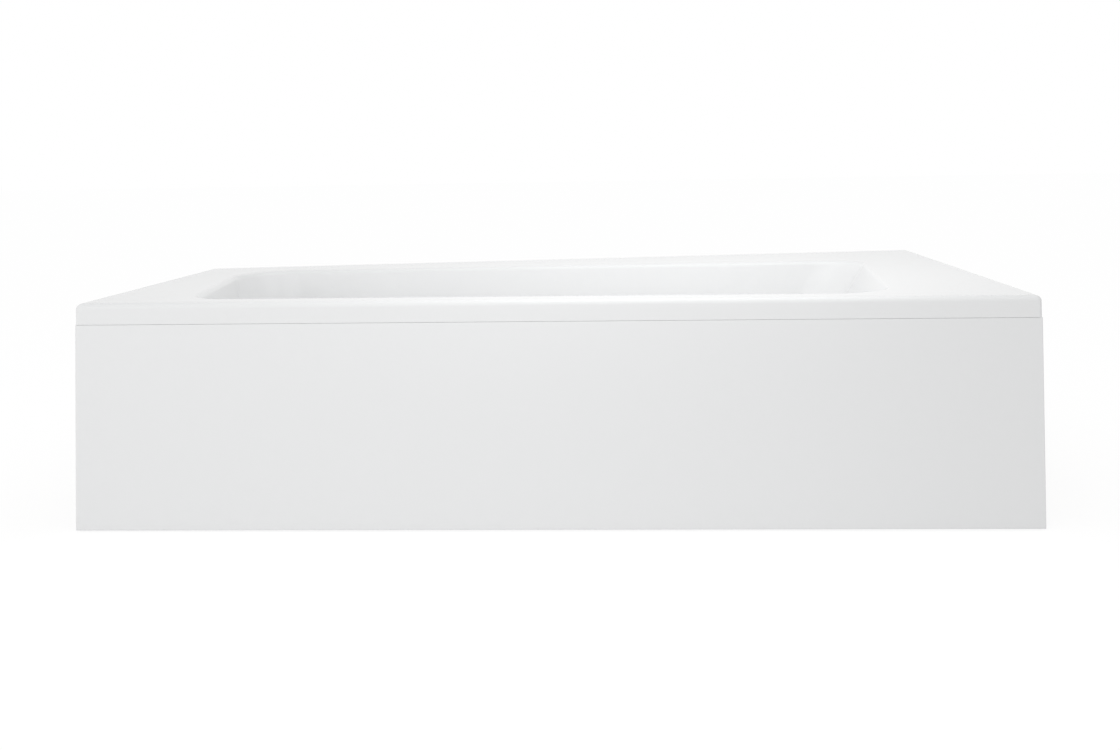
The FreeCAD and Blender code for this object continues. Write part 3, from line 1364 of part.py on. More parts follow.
def overflow_pipe():
    level = value("pipe_level")
    start = in_waste_frame(value("elbow_radius + socket_length - pipe_insert"), 0, value(ELBOW_AXIS))
    end = Vector(-value("body_radius + socket_length - pipe_insert"), 0, level)
    points = [start, drop_to(start, level), end]
    outer = value("pipe_radius")
    inner = value("pipe_radius - pipe_wall")
    path = rounded_path(points, [value("pipe_bend")])
    tube = swept(path, points, outer).cut(swept(path, points, inner))
    keep_tube("overflow_pipe", tube, math.pi*(outer**2 - inner**2), path.Length, WASTE)


def union_nuts():
    """The nuts that close the overflow pipe's two sockets."""
    body = new_body("union_nut")
    outline = sketch_loops(body, "union_outline", [polygon("union_radius", UNION_SIDES)])
    pad(body, "union_block", outline, "union_length")
    through = sketch_circles(body, "union_bore", [("0", "0")], "pipe_radius + joint_gap", "union_length")
    pocket(body, "union_bored", through, "union_length")
    thread = sketch_circles(body, "union_thread", [("0", "0")], "socket_radius + joint_gap",
                            f"union_length - {SINK}")
    pocket(body, "union_threaded", thread, "union_length")
    tail = value(f"socket_length + {SINK} + seat_gap - union_length")
    on_elbow = Vector(value("elbow_radius") + tail, 0, value(ELBOW_AXIS))
    on_waste = Vector(-value("body_radius") - tail, 0, value("pipe_level"))
    across = Vector(0, 1, 0)
    upper = OVERFLOW.multiply(Placement(on_elbow, Rotation(across, 90)))
    lower = WASTE.multiply(Placement(on_waste, Rotation(across, -90)))
    group("union_nuts", body, [upper, lower])


def bowden_cable():
    """The cable's sheath from the elbow's nipple down behind the wall and round to the waste body's."""
    runs = [(after - before).Length for before, after in zip(CABLE_ROUTE, CABLE_ROUTE[1:])]
    radii = []
    for row, (before, after) in enumerate(zip(runs, runs[1:])):
        turn = turn_at(*CABLE_ROUTE[row:row + 3])
        radii.append(ARC_SHARE*min(before, after)/math.tan(turn/2))
    path = rounded_path(CABLE_ROUTE, radii)
    radius = value("cable_radius")
    tube = swept(path, CABLE_ROUTE, radius)
    keep_tube("bowden_cable", tube, math.pi*radius**2, path.Length, Placement())
    print("cable length", round(path.Length), "mm, bends", [round(bend) for bend in radii])


def overflow():
    overflow_rosette()
    ring("overflow_seal", "(overflow_hole + joint_gap)", "elbow_flange",
         ELBOW_FRONT, f"-{WALL_STACK}", OVERFLOW)
    overflow_elbow()
    overflow_knob()
    cable_drum()
    overflow_pipe()
    union_nuts()
    bowden_cable()


def check_document():
    """Stops if any object failed or any sub-part is empty or broken."""
    for item in doc.Objects:
        if "Invalid" in item.State or "Error" in item.State:
            raise RuntimeError(f"{item.Name} failed: {item.State}")
    for name, item in sub_parts.items():
        if item.Shape.isNull() or not item.Shape.isValid():
            raise RuntimeError(f"{name} has no valid shape")


def write_parts():
    os.makedirs("parts", exist_ok=True)
    for name, item in sub_parts.items():
        item.Shape.exportStep(os.path.join("parts", name + ".step"))
        print(f"{name}: {len(item.Shape.Solids)} solids, {item.Shape.Volume/1000:.1f} cm3")


shell_holes, backing_holes = plumbing_holes()
bath_shell(shell_holes)
glassfibre_backing(backing_holes)
base_board()
rim_battens()
cradle()
brackets()
front_panel()
panel_stiffeners()
panel_pegs()
waste()
overflow()
doc.recompute()
check_document()
write_parts()
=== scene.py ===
# %% [markdown]
# A low white bathtub stands on a pale floor. Its front edge is skewed, so it is wide at the
# head end and narrow at the foot end, and a flat white panel closes the front under the rim.
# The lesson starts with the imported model, which is fixed: every node keeps its place and its
# mesh, and gets a finish here. What the solids leave out is added as pieces of its own.

# %% Load the frame
import json
import math

import bpy
from mathutils import Matrix, Vector


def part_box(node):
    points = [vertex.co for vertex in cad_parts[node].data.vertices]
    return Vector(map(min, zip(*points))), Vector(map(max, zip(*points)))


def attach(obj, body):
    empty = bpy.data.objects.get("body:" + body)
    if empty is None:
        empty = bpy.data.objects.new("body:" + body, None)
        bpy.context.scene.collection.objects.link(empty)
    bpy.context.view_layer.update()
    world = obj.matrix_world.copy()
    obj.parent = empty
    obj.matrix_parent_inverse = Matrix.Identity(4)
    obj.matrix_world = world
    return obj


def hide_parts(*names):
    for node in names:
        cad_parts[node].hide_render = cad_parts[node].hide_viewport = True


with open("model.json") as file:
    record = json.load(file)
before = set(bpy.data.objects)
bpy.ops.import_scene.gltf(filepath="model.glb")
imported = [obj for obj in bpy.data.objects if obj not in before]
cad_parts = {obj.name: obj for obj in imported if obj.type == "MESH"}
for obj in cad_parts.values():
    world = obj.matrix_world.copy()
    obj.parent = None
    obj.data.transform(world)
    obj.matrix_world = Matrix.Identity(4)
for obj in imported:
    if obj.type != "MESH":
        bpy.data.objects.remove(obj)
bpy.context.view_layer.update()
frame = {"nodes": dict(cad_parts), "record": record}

# %% [markdown]
# The picture was taken from a low place in front of the bath, a little right of its middle.
# The upright edges are upright in it, so the camera looks level and its frame is shifted
# instead of tilted. The focal length and the middle of view were fitted to the bath's corners,
# in pixels of a picture 1120 wide, and are turned into Blender's lens and shift here.

# %% Camera
PICTURE_WIDTH = 1120
PICTURE_HEIGHT = 750
SENSOR_WIDTH = 36.0
FOCAL_PIXELS = 1012.8
VIEW_MIDDLE = (783.4, 142.6)
CAMERA_PLACE = Vector((0.163, -2.261, 0.695))
CAMERA_YAW = 0.143
CAMERA_PITCH = -0.0136
CAMERA_ROLL = -0.0133


def camera_turn(yaw, pitch, roll):
    """The camera's turn: yaw swings it to the right, pitch down, roll about its own axis."""
    ahead = Vector((math.sin(yaw)*math.cos(pitch), math.cos(yaw)*math.cos(pitch), -math.sin(pitch)))
    level = Vector((math.cos(yaw), -math.sin(yaw), 0))
    above = level.cross(ahead)
    right = level*math.cos(roll) + above*math.sin(roll)
    up = above*math.cos(roll) - level*math.sin(roll)
    return Matrix((right, up, -ahead)).transposed().to_4x4()


camera_data = bpy.data.cameras.new("camera")
camera_data.sensor_fit = "HORIZONTAL"
camera_data.sensor_width = SENSOR_WIDTH
camera_data.lens = FOCAL_PIXELS*SENSOR_WIDTH/PICTURE_WIDTH
camera_data.shift_x = (PICTURE_WIDTH/2 - VIEW_MIDDLE[0])/PICTURE_WIDTH
camera_data.shift_y = (VIEW_MIDDLE[1] - PICTURE_HEIGHT/2)/PICTURE_WIDTH
camera = bpy.data.objects.new("camera", camera_data)
turn = camera_turn(CAMERA_YAW, CAMERA_PITCH, CAMERA_ROLL)
camera.matrix_world = Matrix.Translation(CAMERA_PLACE) @ turn
bpy.context.scene.collection.objects.link(camera)
bpy.context.scene.camera = camera
print("lens:", round(camera_data.lens, 2))
print("shift:", round(camera_data.shift_x, 3), round(camera_data.shift_y, 3))

# %% [markdown]
# Every material here is a small tree of nodes. Two helpers keep the cells short: one makes
# a material and hands back its shader, the other links sockets by name.

# %% Material helpers
NODE_STEP = 220


class Tree:
    """A node tree with short calls to add, set and link nodes."""

    def __init__(self, tree):
        self.tree = tree
        self.columns = 0

    def add(self, kind, values=(), **settings):
        node = self.tree.nodes.new(kind)
        self.columns += 1
        node.location = (-NODE_STEP*self.columns, 0)
        for name, setting in settings.items():
            setattr(node, name, setting)
        for name, number in dict(values).items():
            node.inputs[name].default_value = number
        return node

    def link(self, source, target):
        self.tree.links.new(source, target)


def new_material(name, values):
    """A material with one Principled shader, whose plain values are set on its own sockets."""
    material = bpy.data.materials.new(name)
    material.use_nodes = True
    material.node_tree.nodes.clear()
    tree = Tree(material.node_tree)
    output = tree.add("ShaderNodeOutputMaterial")
    shader = tree.add("ShaderNodeBsdfPrincipled", values)
    tree.link(shader.outputs["BSDF"], output.inputs["Surface"])
    return material, tree, shader


def new_group(name, inputs, outputs):
    """A shader node group: inputs are (name, kind, value), outputs are (name, kind)."""
    group = bpy.data.node_groups.new(name, "ShaderNodeTree")
    for label, kind, number in inputs:
        socket = group.interface.new_socket(label, in_out="INPUT", socket_type=kind)
        if number is not None:
            socket.default_value = number
    for label, kind in outputs:
        group.interface.new_socket(label, in_out="OUTPUT", socket_type=kind)
    tree = Tree(group)
    return group, tree, tree.add("NodeGroupInput").outputs, tree.add("NodeGroupOutput").inputs


def place_group(tree, group, values=()):
    """A node that places a shader group in a material's tree."""
    node = tree.add("ShaderNodeGroup")
    node.node_tree = group
    for name, number in dict(values).items():
        node.inputs[name].default_value = number
    return node


FLOAT = "NodeSocketFloat"
COLOR = "NodeSocketColor"
VECTOR = "NodeSocketVector"
print("material helpers ready")

# %% [markdown]
# A formed or moulded surface is never quite even. The mottle group mixes two colours and two
# roughnesses by a soft noise, and gives a fine height for a bump. Acrylic, plastic, rubber
# and plated steel all use it, each with its own scale and colours.

# %% Mottle group
mottle, tree, given, result = new_group(
    "mottle",
    [("Scale", FLOAT, 6.0), ("Grain Scale", FLOAT, 300.0), ("Light", COLOR, (0.9, 0.9, 0.9, 1)),
     ("Dark", COLOR, (0.88, 0.88, 0.88, 1)), ("Smooth", FLOAT, 0.1), ("Rough", FLOAT, 0.2)],
    [("Color", COLOR), ("Roughness", FLOAT), ("Height", FLOAT)])
place = tree.add("ShaderNodeTexCoord").outputs["Object"]
clouds = tree.add("ShaderNodeTexNoise", {"Detail": 3.0, "Roughness": 0.5})
grain = tree.add("ShaderNodeTexNoise", {"Detail": 2.0, "Roughness": 0.6})
colours = tree.add("ShaderNodeMix", data_type="RGBA")
roughness = tree.add("ShaderNodeMapRange")
tree.link(place, clouds.inputs["Vector"])
tree.link(place, grain.inputs["Vector"])
tree.link(given["Scale"], clouds.inputs["Scale"])
tree.link(given["Grain Scale"], grain.inputs["Scale"])
tree.link(clouds.outputs["Fac"], colours.inputs["Factor"])
tree.link(given["Light"], colours.inputs["A"])
tree.link(given["Dark"], colours.inputs["B"])
tree.link(clouds.outputs["Fac"], roughness.inputs["Value"])
tree.link(given["Smooth"], roughness.inputs["To Min"])
tree.link(given["Rough"], roughness.inputs["To Max"])
tree.link(colours.outputs["Result"], result["Color"])
tree.link(roughness.outputs["Result"], result["Roughness"])
tree.link(grain.outputs["Fac"], result["Height"])
print("mottle group:", [item.name for item in mottle.interface.items_tree])


def mottled(name, light, dark, smooth, rough, scale, grain_scale, depth, values):
    """A material whose colour, roughness and fine bump come from the mottle group.

    Scales are in spots per metre, and depth is the height of the grain in metres.
    """
    material, tree, shader = new_material(name, values)
    group = place_group(tree, mottle, {"Scale": scale, "Grain Scale": grain_scale, "Light": (*light, 1),
                                       "Dark": (*dark, 1), "Smooth": smooth, "Rough": rough})
    bump = tree.add("ShaderNodeBump", {"Strength": 0.3, "Distance": depth})
    tree.link(group.outputs["Color"], shader.inputs["Base Color"])
    tree.link(group.outputs["Roughness"], shader.inputs["Roughness"])
    tree.link(group.outputs["Height"], bump.inputs["Height"])
    tree.link(bump.outputs["Normal"], shader.inputs["Normal"])
    return material


# %% [markdown]
# The bath is formed from a white acrylic sheet: glossy, a shade cooler than pure white, and
# drawn a little thinner in its corners, which shows as a faint change of gloss. A coat on the
# shader gives the sharp shine over the softer body. The flat panel is the same plastic with a
# duller face.

# %% White acrylic
bath_white = mottled(
    "bath_white", light=(0.885, 0.89, 0.892), dark=(0.872, 0.877, 0.88), smooth=0.16, rough=0.24,
    scale=2.5, grain_scale=140.0, depth=0.0002,
    values={"Coat Weight": 0.06, "Coat Roughness": 0.06, "IOR": 1.49, "Specular IOR Level": 0.2})
panel_white = mottled(
    "panel_white", light=(0.872, 0.877, 0.88), dark=(0.862, 0.867, 0.871), smooth=0.28, rough=0.36,
    scale=1.8, grain_scale=160.0, depth=0.0002,
    values={"Coat Weight": 0.05, "Coat Roughness": 0.12, "IOR": 1.49})
print("acrylic:", bath_white.name, panel_white.name)

# %% [markdown]
# Under the bath are the plain working materials: white plumbing plastic, grey pipe, black
# rubber and the cable's black sheath. They differ in colour, gloss and grain.

# %% Plastics and rubber
PLASTIC = {"IOR": 1.5}
plumbing_white = mottled(
    "plumbing_white", light=(0.78, 0.785, 0.78), dark=(0.73, 0.735, 0.73), smooth=0.35, rough=0.5,
    scale=30.0, grain_scale=900.0, depth=0.0001, values=PLASTIC)
pipe_grey = mottled(
    "pipe_grey", light=(0.33, 0.34, 0.35), dark=(0.28, 0.29, 0.3), smooth=0.4, rough=0.55,
    scale=25.0, grain_scale=800.0, depth=0.0001, values=PLASTIC)
black_rubber = mottled(
    "black_rubber", light=(0.03, 0.03, 0.031), dark=(0.018, 0.018, 0.018), smooth=0.6, rough=0.8,
    scale=60.0, grain_scale=1200.0, depth=0.0003, values=PLASTIC)
sheath_black = mottled(
    "sheath_black", light=(0.035, 0.035, 0.038), dark=(0.022, 0.022, 0.024), smooth=0.4, rough=0.55,
    scale=80.0, grain_scale=1500.0, depth=0.0002, values=PLASTIC)
print("plastics:", plumbing_white.name, pipe_grey.name, black_rubber.name, sheath_black.name)

# %% [markdown]
# The visible fittings in the basin are chrome. Real chrome has faint water marks, so its
# roughness is mottled too, while its colour stays nearly even. Bars, brackets and screws are
# zinc plated, which is duller and shows larger pale patches.

# %% Chrome and zinc
METAL = {"Metallic": 1.0}
chrome = mottled(
    "chrome", light=(0.8, 0.81, 0.82), dark=(0.77, 0.78, 0.79), smooth=0.03, rough=0.09,
    scale=40.0, grain_scale=900.0, depth=0.00002, values=METAL)
zinc_steel = mottled(
    "zinc_steel", light=(0.62, 0.63, 0.645), dark=(0.5, 0.51, 0.53), smooth=0.28, rough=0.5,
    scale=90.0, grain_scale=700.0, depth=0.0001, values=METAL)
print("metals:", chrome.name, zinc_steel.name)

# %% [markdown]
# The back of the basin is laminated: chopped glass strands in resin, rolled on by hand. The
# strands are long thin cells, made by stretching a Voronoi pattern two ways and mixing
# the two, and the resin between them is darker and glossier.

# %% Laminate
STRAND_TILT = 0.2
STRAND_WAYS = [(0.6, (30.0, 240.0, 80.0)), (-0.7, (260.0, 34.0, 90.0))]
glass_laminate, tree, shader = new_material(
    "glass_laminate", {"IOR": 1.52, "Coat Weight": 0.2, "Coat Roughness": 0.25})
place = tree.add("ShaderNodeTexCoord").outputs["Object"]
strands = []
for turn, stretch in STRAND_WAYS:
    mapping = tree.add("ShaderNodeMapping", {"Rotation": (STRAND_TILT, turn, turn), "Scale": stretch})
    cells = tree.add("ShaderNodeTexVoronoi", {"Scale": 1.0}, feature="DISTANCE_TO_EDGE")
    tree.link(place, mapping.inputs["Vector"])
    tree.link(mapping.outputs["Vector"], cells.inputs["Vector"])
    strands.append(cells.outputs["Distance"])
both = tree.add("ShaderNodeMath", operation="MINIMUM")
ramp = tree.add("ShaderNodeValToRGB")
gloss = tree.add("ShaderNodeMapRange", {"From Max": 0.3, "To Min": 0.3, "To Max": 0.65})
bump = tree.add("ShaderNodeBump", {"Strength": 0.7, "Distance": 0.0012})
tree.link(strands[0], both.inputs[0])
tree.link(strands[1], both.inputs[1])
ramp.color_ramp.elements[0].position = 0.02
ramp.color_ramp.elements[0].color = (0.46, 0.44, 0.33, 1)
ramp.color_ramp.elements[1].position = 0.3
ramp.color_ramp.elements[1].color = (0.72, 0.71, 0.62, 1)
tree.link(both.outputs["Value"], ramp.inputs["Fac"])
tree.link(both.outputs["Value"], gloss.inputs["Value"])
tree.link(both.outputs["Value"], bump.inputs["Height"])
tree.link(ramp.outputs["Color"], shader.inputs["Base Color"])
tree.link(gloss.outputs["Result"], shader.inputs["Roughness"])
tree.link(bump.outputs["Normal"], shader.inputs["Normal"])
print("laminate:", glass_laminate.name)

# %% [markdown]
# The base board and the panel's stiffeners are particle board: pressed chips of a few
# millimetres, each its own shade of brown. A Voronoi pattern gives each chip a random
# colour, and its edges a little depth.

# %% Particle board
particle_board, tree, shader = new_material("particle_board", {"Roughness": 0.8, "IOR": 1.4})
place = tree.add("ShaderNodeTexCoord").outputs["Object"]
mapping = tree.add("ShaderNodeMapping", {"Scale": (1.0, 1.6, 1.3)})
chips = tree.add("ShaderNodeTexVoronoi", {"Scale": 260.0, "Randomness": 1.0})
shade = tree.add("ShaderNodeSeparateColor")
ramp = tree.add("ShaderNodeValToRGB")
bump = tree.add("ShaderNodeBump", {"Strength": 0.5, "Distance": 0.0006})
ramp.color_ramp.elements[0].color = (0.36, 0.25, 0.14, 1)
ramp.color_ramp.elements[1].color = (0.68, 0.54, 0.35, 1)
tree.link(place, mapping.inputs["Vector"])
tree.link(mapping.outputs["Vector"], chips.inputs["Vector"])
tree.link(chips.outputs["Color"], shade.inputs["Color"])
tree.link(shade.outputs["Red"], ramp.inputs["Fac"])
tree.link(chips.outputs["Distance"], bump.inputs["Height"])
tree.link(ramp.outputs["Color"], shader.inputs["Base Color"])
tree.link(bump.outputs["Normal"], shader.inputs["Normal"])
print("particle board:", particle_board.name)

# %% [markdown]
# The battens under the rim are planed softwood. Its grain runs along each batten, so two
# materials share one group: one for battens along the bath, one for those across it.

# %% Softwood
grain_group, tree, given, result = new_group(
    "wood_grain", [("Stretch", VECTOR, (1.0, 1.0, 1.0))], [("Color", COLOR), ("Height", FLOAT)])
place = tree.add("ShaderNodeTexCoord").outputs["Object"]
stretched = tree.add("ShaderNodeVectorMath", operation="MULTIPLY")
waver = tree.add("ShaderNodeTexNoise", {"Scale": 1.0, "Detail": 4.0, "Roughness": 0.6})
ramp = tree.add("ShaderNodeValToRGB")
ramp.color_ramp.elements[0].position = 0.35
ramp.color_ramp.elements[0].color = (0.75, 0.55, 0.32, 1)
ramp.color_ramp.elements[1].position = 0.62
ramp.color_ramp.elements[1].color = (0.55, 0.35, 0.17, 1)
tree.link(place, stretched.inputs[0])
tree.link(given["Stretch"], stretched.inputs[1])
tree.link(stretched.outputs["Vector"], waver.inputs["Vector"])
tree.link(waver.outputs["Fac"], ramp.inputs["Fac"])
tree.link(ramp.outputs["Color"], result["Color"])
tree.link(waver.outputs["Fac"], result["Height"])


def softwood(name, stretch):
    material, tree, shader = new_material(name, {"Roughness": 0.65, "IOR": 1.4})
    group = place_group(tree, grain_group, {"Stretch": stretch})
    bump = tree.add("ShaderNodeBump", {"Strength": 0.4, "Distance": 0.0004})
    tree.link(group.outputs["Color"], shader.inputs["Base Color"])
    tree.link(group.outputs["Height"], bump.inputs["Height"])
    tree.link(bump.outputs["Normal"], shader.inputs["Normal"])
    return material


wood_along = softwood("wood_along", (6.0, 160.0, 160.0))
wood_across = softwood("wood_across", (160.0, 6.0, 160.0))
print("softwood:", wood_along.name, wood_across.name)

# %% [markdown]
# The record says which finish each node has. A table turns each of its slots into one of
# the materials above, and the battens across the bath get the grain that runs across.

# %% Dress the nodes
SLOT_FINISH = {
    "bath_acrylic": bath_white,
    "panel_acrylic": panel_white,
    "glass_fibre": glass_laminate,
    "particle_board": particle_board,
    "softwood": wood_along,
    "zinc_steel": zinc_steel,
    "rubber": black_rubber,
    "chrome": chrome,
    "white_plastic": plumbing_white,
    "grey_plastic": pipe_grey,
    "cable_black": sheath_black,
}
NODE_FINISH = {"rim_batten_foot": wood_across, "rim_batten_head": wood_across}


def dress(node, material):
    """Puts one material on a node in place of what it was loaded with."""
    mesh = frame["nodes"][node].data
    mesh.materials.clear()
    mesh.materials.append(material)


for row in frame["record"]["subparts"]:
    dress(row["node"], NODE_FINISH.get(row["node"], SLOT_FINISH[row["material_slot"]]))

# %% [markdown]
# Each levelling foot turns on a threaded stud. The solid model has a plain bar there, so the
# real stud is made here: a core, a plain neck in the pad, a hexagon for the spanner and a
# thread. A thread is a small wedge swept along a helix, which is a rule, so Geometry Nodes
# make it. The tree below has one input for each size and is used for all four studs.

# %% Stud nodes
STUD_CREST = 0.006
STUD_CORE = 0.0052
THREAD_PITCH = 0.00175
NECK_RADIUS = 0.005
HEXAGON_RADIUS = 0.0095
HEXAGON_HEIGHT = 0.006
HEXAGON_RISE = 0.013
HEXAGON_SIDES = 6
BAR_SIDES = 32
THREAD_SIDES = 20
WEDGE_SIDES = 3


class Shaper(Tree):
    """A geometry tree that makes closed upright bars and a thread."""

    def bar(self, radius, low, height, sides):
        """A closed bar about Z; radius, low and height are sockets."""
        shape = self.add("GeometryNodeMeshCylinder", {"Vertices": sides})
        half = self.maths("DIVIDE", height, 2)
        centre = self.maths("ADD", half, low)
        place = self.add("ShaderNodeCombineXYZ")
        move = self.add("GeometryNodeTransform")
        self.link(radius, shape.inputs["Radius"])
        self.link(height, shape.inputs["Depth"])
        self.link(centre, place.inputs["Z"])
        self.link(shape.outputs["Mesh"], move.inputs["Geometry"])
        self.link(place.outputs["Vector"], move.inputs["Translation"])
        return move.outputs["Geometry"]

    def maths(self, operation, first, second):
        """The outcome of a sum on two terms, each a socket or a plain number."""
        node = self.add("ShaderNodeMath", operation=operation)
        for socket, term in zip(node.inputs, (first, second)):
            if isinstance(term, (int, float)):
                socket.default_value = term
            else:
                self.link(term, socket)
        return node.outputs["Value"]

    def thread(self, core, crest, pitch, low, height):
        """A wedge swept along a helix from low up through height."""
        turns = self.maths("DIVIDE", height, pitch)
        helix = self.add("GeometryNodeCurveSpiral", {"Resolution": THREAD_SIDES})
        wedge = self.add("GeometryNodeCurvePrimitiveCircle", {"Resolution": WEDGE_SIDES}, mode="RADIUS")
        depth = self.maths("SUBTRACT", crest, core)
        sweep = self.add("GeometryNodeCurveToMesh", {"Fill Caps": True})
        place = self.add("ShaderNodeCombineXYZ")
        move = self.add("GeometryNodeTransform")
        self.link(turns, helix.inputs["Rotations"])
        self.link(core, helix.inputs["Start Radius"])
        self.link(core, helix.inputs["End Radius"])
        self.link(height, helix.inputs["Height"])
        self.link(depth, wedge.inputs["Radius"])
        self.link(helix.outputs["Curve"], sweep.inputs["Curve"])
        self.link(wedge.outputs["Curve"], sweep.inputs["Profile Curve"])
        self.link(low, place.inputs["Z"])
        self.link(sweep.outputs["Mesh"], move.inputs["Geometry"])
        self.link(place.outputs["Vector"], move.inputs["Translation"])
        return move.outputs["Geometry"]


def new_geometry_group(name, inputs):
    """A geometry node group: inputs are (name, kind, value). Returns it, its tree and its sockets."""
    group = bpy.data.node_groups.new(name, "GeometryNodeTree")
    for label, kind, number in inputs:
        socket = group.interface.new_socket(label, in_out="INPUT", socket_type=kind)
        if number is not None:
            socket.default_value = number
    group.interface.new_socket("Geometry", in_out="OUTPUT", socket_type="NodeSocketGeometry")
    tree = Shaper(group)
    return group, tree, tree.add("NodeGroupInput").outputs, tree.add("NodeGroupOutput").inputs


stud_group, tree, given, result = new_geometry_group(
    "levelling_stud",
    [("Low", FLOAT, None), ("Top", FLOAT, None), ("Neck", FLOAT, NECK_RADIUS),
     ("Core", FLOAT, STUD_CORE), ("Crest", FLOAT, STUD_CREST), ("Pitch", FLOAT, THREAD_PITCH),
     ("Hexagon", FLOAT, HEXAGON_RADIUS), ("Hexagon Rise", FLOAT, HEXAGON_RISE),
     ("Hexagon Height", FLOAT, HEXAGON_HEIGHT), ("Material", "NodeSocketMaterial", None)])
hexagon_low = tree.maths("ADD", given["Low"], given["Hexagon Rise"])
core_low = tree.maths("ADD", hexagon_low, given["Hexagon Height"])
core_height = tree.maths("SUBTRACT", given["Top"], core_low)
thread_low = tree.maths("ADD", core_low, given["Pitch"])
free_height = tree.maths("SUBTRACT", given["Top"], thread_low)
thread_height = tree.maths("SUBTRACT", free_height, given["Pitch"])
join = tree.add("GeometryNodeJoinGeometry")
for shape in (tree.bar(given["Neck"], given["Low"], given["Hexagon Rise"], BAR_SIDES),
              tree.bar(given["Hexagon"], hexagon_low, given["Hexagon Height"], HEXAGON_SIDES),
              tree.bar(given["Core"], core_low, core_height, BAR_SIDES),
              tree.thread(given["Core"], given["Crest"], given["Pitch"], thread_low, thread_height)):
    tree.link(shape, join.inputs["Geometry"])
realize = tree.add("GeometryNodeRealizeInstances")
finish = tree.add("GeometryNodeSetMaterial")
tree.link(join.outputs["Geometry"], realize.inputs["Geometry"])
tree.link(realize.outputs["Geometry"], finish.inputs["Geometry"])
tree.link(given["Material"], finish.inputs["Material"])
tree.link(finish.outputs["Geometry"], result["Geometry"])
print("stud nodes:", len(stud_group.nodes))

# %% [markdown]
# A mesh with this tree as its modifier is evaluated, turned into a plain mesh and moved to its
# foot. The stud goes down with its foot, so it rides on that foot's body.

# %% Levelling studs


def grown(name, group, inputs):
    """The plain mesh that a geometry node group makes."""
    seed = bpy.data.objects.new(name + "_seed", bpy.data.meshes.new(name + "_seed"))
    bpy.context.scene.collection.objects.link(seed)
    modifier = seed.modifiers.new("shape", "NODES")
    modifier.node_group = group
    sockets = {item.name: item.identifier for item in group.interface.items_tree
               if item.in_out == "INPUT"}
    for label, setting in inputs.items():
        modifier[sockets[label]] = setting
    bpy.context.view_layer.update()
    evaluated = seed.evaluated_get(bpy.context.evaluated_depsgraph_get())
    mesh = bpy.data.meshes.new_from_object(evaluated)
    mesh.name = name
    bpy.data.objects.remove(seed)
    return mesh


for end in ("foot", "head"):
    for side in ("front", "back"):
        node = f"foot_stud_{end}_{side}"
        low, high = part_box(node)
        middle = ((low[0] + high[0])/2, (low[1] + high[1])/2, 0)
        mesh = grown(f"stud_thread_{end}_{side}", stud_group,
                     {"Low": low[2], "Top": high[2], "Material": zinc_steel})
        mesh.transform(Matrix.Translation(middle))
        stud = bpy.data.objects.new(mesh.name, mesh)
        bpy.context.scene.collection.objects.link(stud)
        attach(stud, f"level_{end}_{side}")
        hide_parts(node)
        print(stud.name, "faces:", len(mesh.polygons))

# %% [markdown]
# The cable that works the plug hangs behind the basin's foot wall, from the overflow's housing
# to the waste body under the bath. Its sheath is a smooth line through the air, so it is a
# NURBS curve with a round bevel, and its points are the ones that its solid was made from.

# %% Cable
CABLE_RADIUS = 0.0035
CABLE_ROUNDNESS = 5
CABLE_STEPS = 12
CABLE_ROUTE = [
    (-0.7580, 0.1110, 0.3358),
    (-0.7631, 0.1433, 0.3358),
    (-0.7680, 0.1770, 0.3080),
    (-0.7649, 0.1896, 0.2400),
    (-0.7531, 0.1915, 0.1650),
    (-0.7228, 0.1922, 0.1040),
    (-0.6692, 0.1987, 0.0740),
    (-0.6099, 0.2081, 0.0660),
    (-0.5629, 0.2054, 0.0680),
    (-0.5345, 0.1795, 0.0680),
    (-0.5296, 0.1482, 0.0680),
]
cable_curve = bpy.data.curves.new("cable_sheath", "CURVE")
cable_curve.dimensions = "3D"
cable_curve.bevel_depth = CABLE_RADIUS
cable_curve.bevel_resolution = CABLE_ROUNDNESS
cable_curve.resolution_u = CABLE_STEPS
cable_curve.use_fill_caps = True
spline = cable_curve.splines.new("NURBS")
spline.points.add(len(CABLE_ROUTE) - 1)
for point, place in zip(spline.points, CABLE_ROUTE):
    point.co = (*place, 1)
spline.order_u = 3
spline.use_endpoint_u = True
cable_curve.materials.append(sheath_black)
cable = bpy.data.objects.new("cable_sheath", cable_curve)
bpy.context.scene.collection.objects.link(cable)
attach(cable, "tub")
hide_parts("bowden_cable")

# %% [markdown]
# The floor is white and so is the background, and the bath should stand out from them only
# by its shade. What the camera sees of the floor is mostly its own light, so that it is as
# white as the background, and a small part is lit, which keeps a faint shadow at the base.
# From below the floor is clear, so that the underside can be looked at.

# %% Floor
FLOOR_HALF = 30.0
GLOW_SHARE = 0.8
GLOW_STRENGTH = 1.1
FLOOR_COLOR = (0.82, 0.82, 0.82, 1)
WHITE = (1, 1, 1, 1)
corners = [(-FLOOR_HALF, -FLOOR_HALF, 0), (FLOOR_HALF, -FLOOR_HALF, 0),
           (FLOOR_HALF, FLOOR_HALF, 0), (-FLOOR_HALF, FLOOR_HALF, 0)]
floor_mesh = bpy.data.meshes.new("floor")
floor_mesh.from_pydata(corners, [], [(0, 1, 2, 3)])
floor = bpy.data.objects.new("floor", floor_mesh)
bpy.context.scene.collection.objects.link(floor)


def seen_rays(tree):
    """One for rays from the camera and for rays seen in gloss or through glass, else zero."""
    rays = tree.add("ShaderNodeLightPath").outputs
    gloss = tree.add("ShaderNodeMath", operation="MAXIMUM")
    seen = tree.add("ShaderNodeMath", operation="MAXIMUM")
    tree.link(rays["Is Glossy Ray"], gloss.inputs[0])
    tree.link(rays["Is Transmission Ray"], gloss.inputs[1])
    tree.link(rays["Is Camera Ray"], seen.inputs[0])
    tree.link(gloss.outputs["Value"], seen.inputs[1])
    return seen.outputs["Value"]


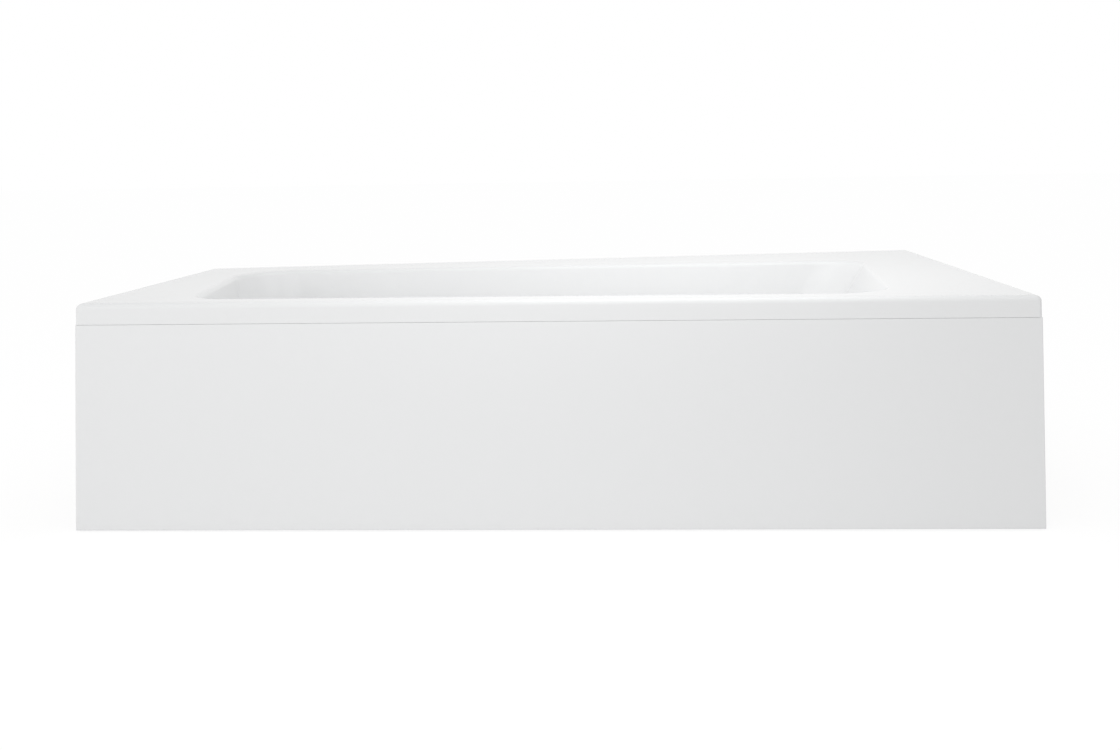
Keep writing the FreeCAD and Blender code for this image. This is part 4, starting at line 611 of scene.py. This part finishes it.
floor_white = bpy.data.materials.new("floor_white")
floor_white.use_nodes = True
floor_white.node_tree.nodes.clear()
tree = Tree(floor_white.node_tree)
output = tree.add("ShaderNodeOutputMaterial")
blend = tree.add("ShaderNodeMixShader")
lit = tree.add("ShaderNodeBsdfDiffuse", {"Color": FLOOR_COLOR})
glow = tree.add("ShaderNodeEmission", {"Color": WHITE, "Strength": GLOW_STRENGTH})
one_sided = tree.add("ShaderNodeMixShader")
clear = tree.add("ShaderNodeBsdfTransparent")
side = tree.add("ShaderNodeNewGeometry")
share = tree.add("ShaderNodeMath", operation="MULTIPLY")
share.inputs[1].default_value = GLOW_SHARE
tree.link(seen_rays(tree), share.inputs[0])
tree.link(share.outputs["Value"], blend.inputs["Fac"])
tree.link(lit.outputs["BSDF"], blend.inputs[1])
tree.link(glow.outputs["Emission"], blend.inputs[2])
tree.link(side.outputs["Backfacing"], one_sided.inputs["Fac"])
tree.link(blend.outputs["Shader"], one_sided.inputs[1])
tree.link(clear.outputs["BSDF"], one_sided.inputs[2])
tree.link(one_sided.outputs["Shader"], output.inputs["Surface"])
floor_mesh.materials.append(floor_white)
print("floor:", floor.name)

# %% [markdown]
# Soft light comes evenly from all round, and the world gives it. The camera, and rays that
# are seen in gloss or through glass, get plain white instead.

# %% World light
LIGHT_LEVEL = 0.69
world = bpy.data.worlds.new("studio")
bpy.context.scene.world = world
world.use_nodes = True
world.node_tree.nodes.clear()
tree = Tree(world.node_tree)
output = tree.add("ShaderNodeOutputWorld")
blend = tree.add("ShaderNodeMixShader")
around = tree.add("ShaderNodeBackground", {"Color": WHITE, "Strength": LIGHT_LEVEL})
white = tree.add("ShaderNodeBackground", {"Color": WHITE, "Strength": 1.0})
tree.link(seen_rays(tree), blend.inputs["Fac"])
tree.link(around.outputs["Background"], blend.inputs[1])
tree.link(white.outputs["Background"], blend.inputs[2])
tree.link(blend.outputs["Shader"], output.inputs["Surface"])
print("world light:", LIGHT_LEVEL)

# %% [markdown]
# Two large soft lamps stand low in front and on the left. They make the panel as light as the
# deck above it, and a touch lighter at its left end. A third one hangs over the basin and
# lights its back wall and its right end. All are weak beside the world's light, so that no
# white surface clips.

# %% Lamps


def soft_lamp(name, place, target, size, power):
    """A square area light that looks at a point."""
    data = bpy.data.lights.new(name, "AREA")
    data.size = size
    data.energy = power
    lamp = bpy.data.objects.new(name, data)
    lamp.location = place
    lamp.rotation_euler = (Vector(target) - Vector(place)).to_track_quat("-Z", "Y").to_euler()
    bpy.context.scene.collection.objects.link(lamp)


soft_lamp("lamp_front", place=(-0.9, -3.0, 0.7), target=(0.0, -0.3, 0.25), size=2.0, power=13.8)
soft_lamp("lamp_left", place=(-2.6, -2.4, 1.0), target=(-0.3, -0.1, 0.3), size=2.0, power=10.4)
soft_lamp("lamp_basin", place=(0.2, -0.2, 1.15), target=(0.15, 0.42, 0.3), size=1.0, power=3.3)
print("lamps:", [item.name for item in bpy.data.lights])

# %% [markdown]
# View transform Standard shows a colour as it is written.

# %% Finish
bpy.context.scene.view_settings.view_transform = "Standard"
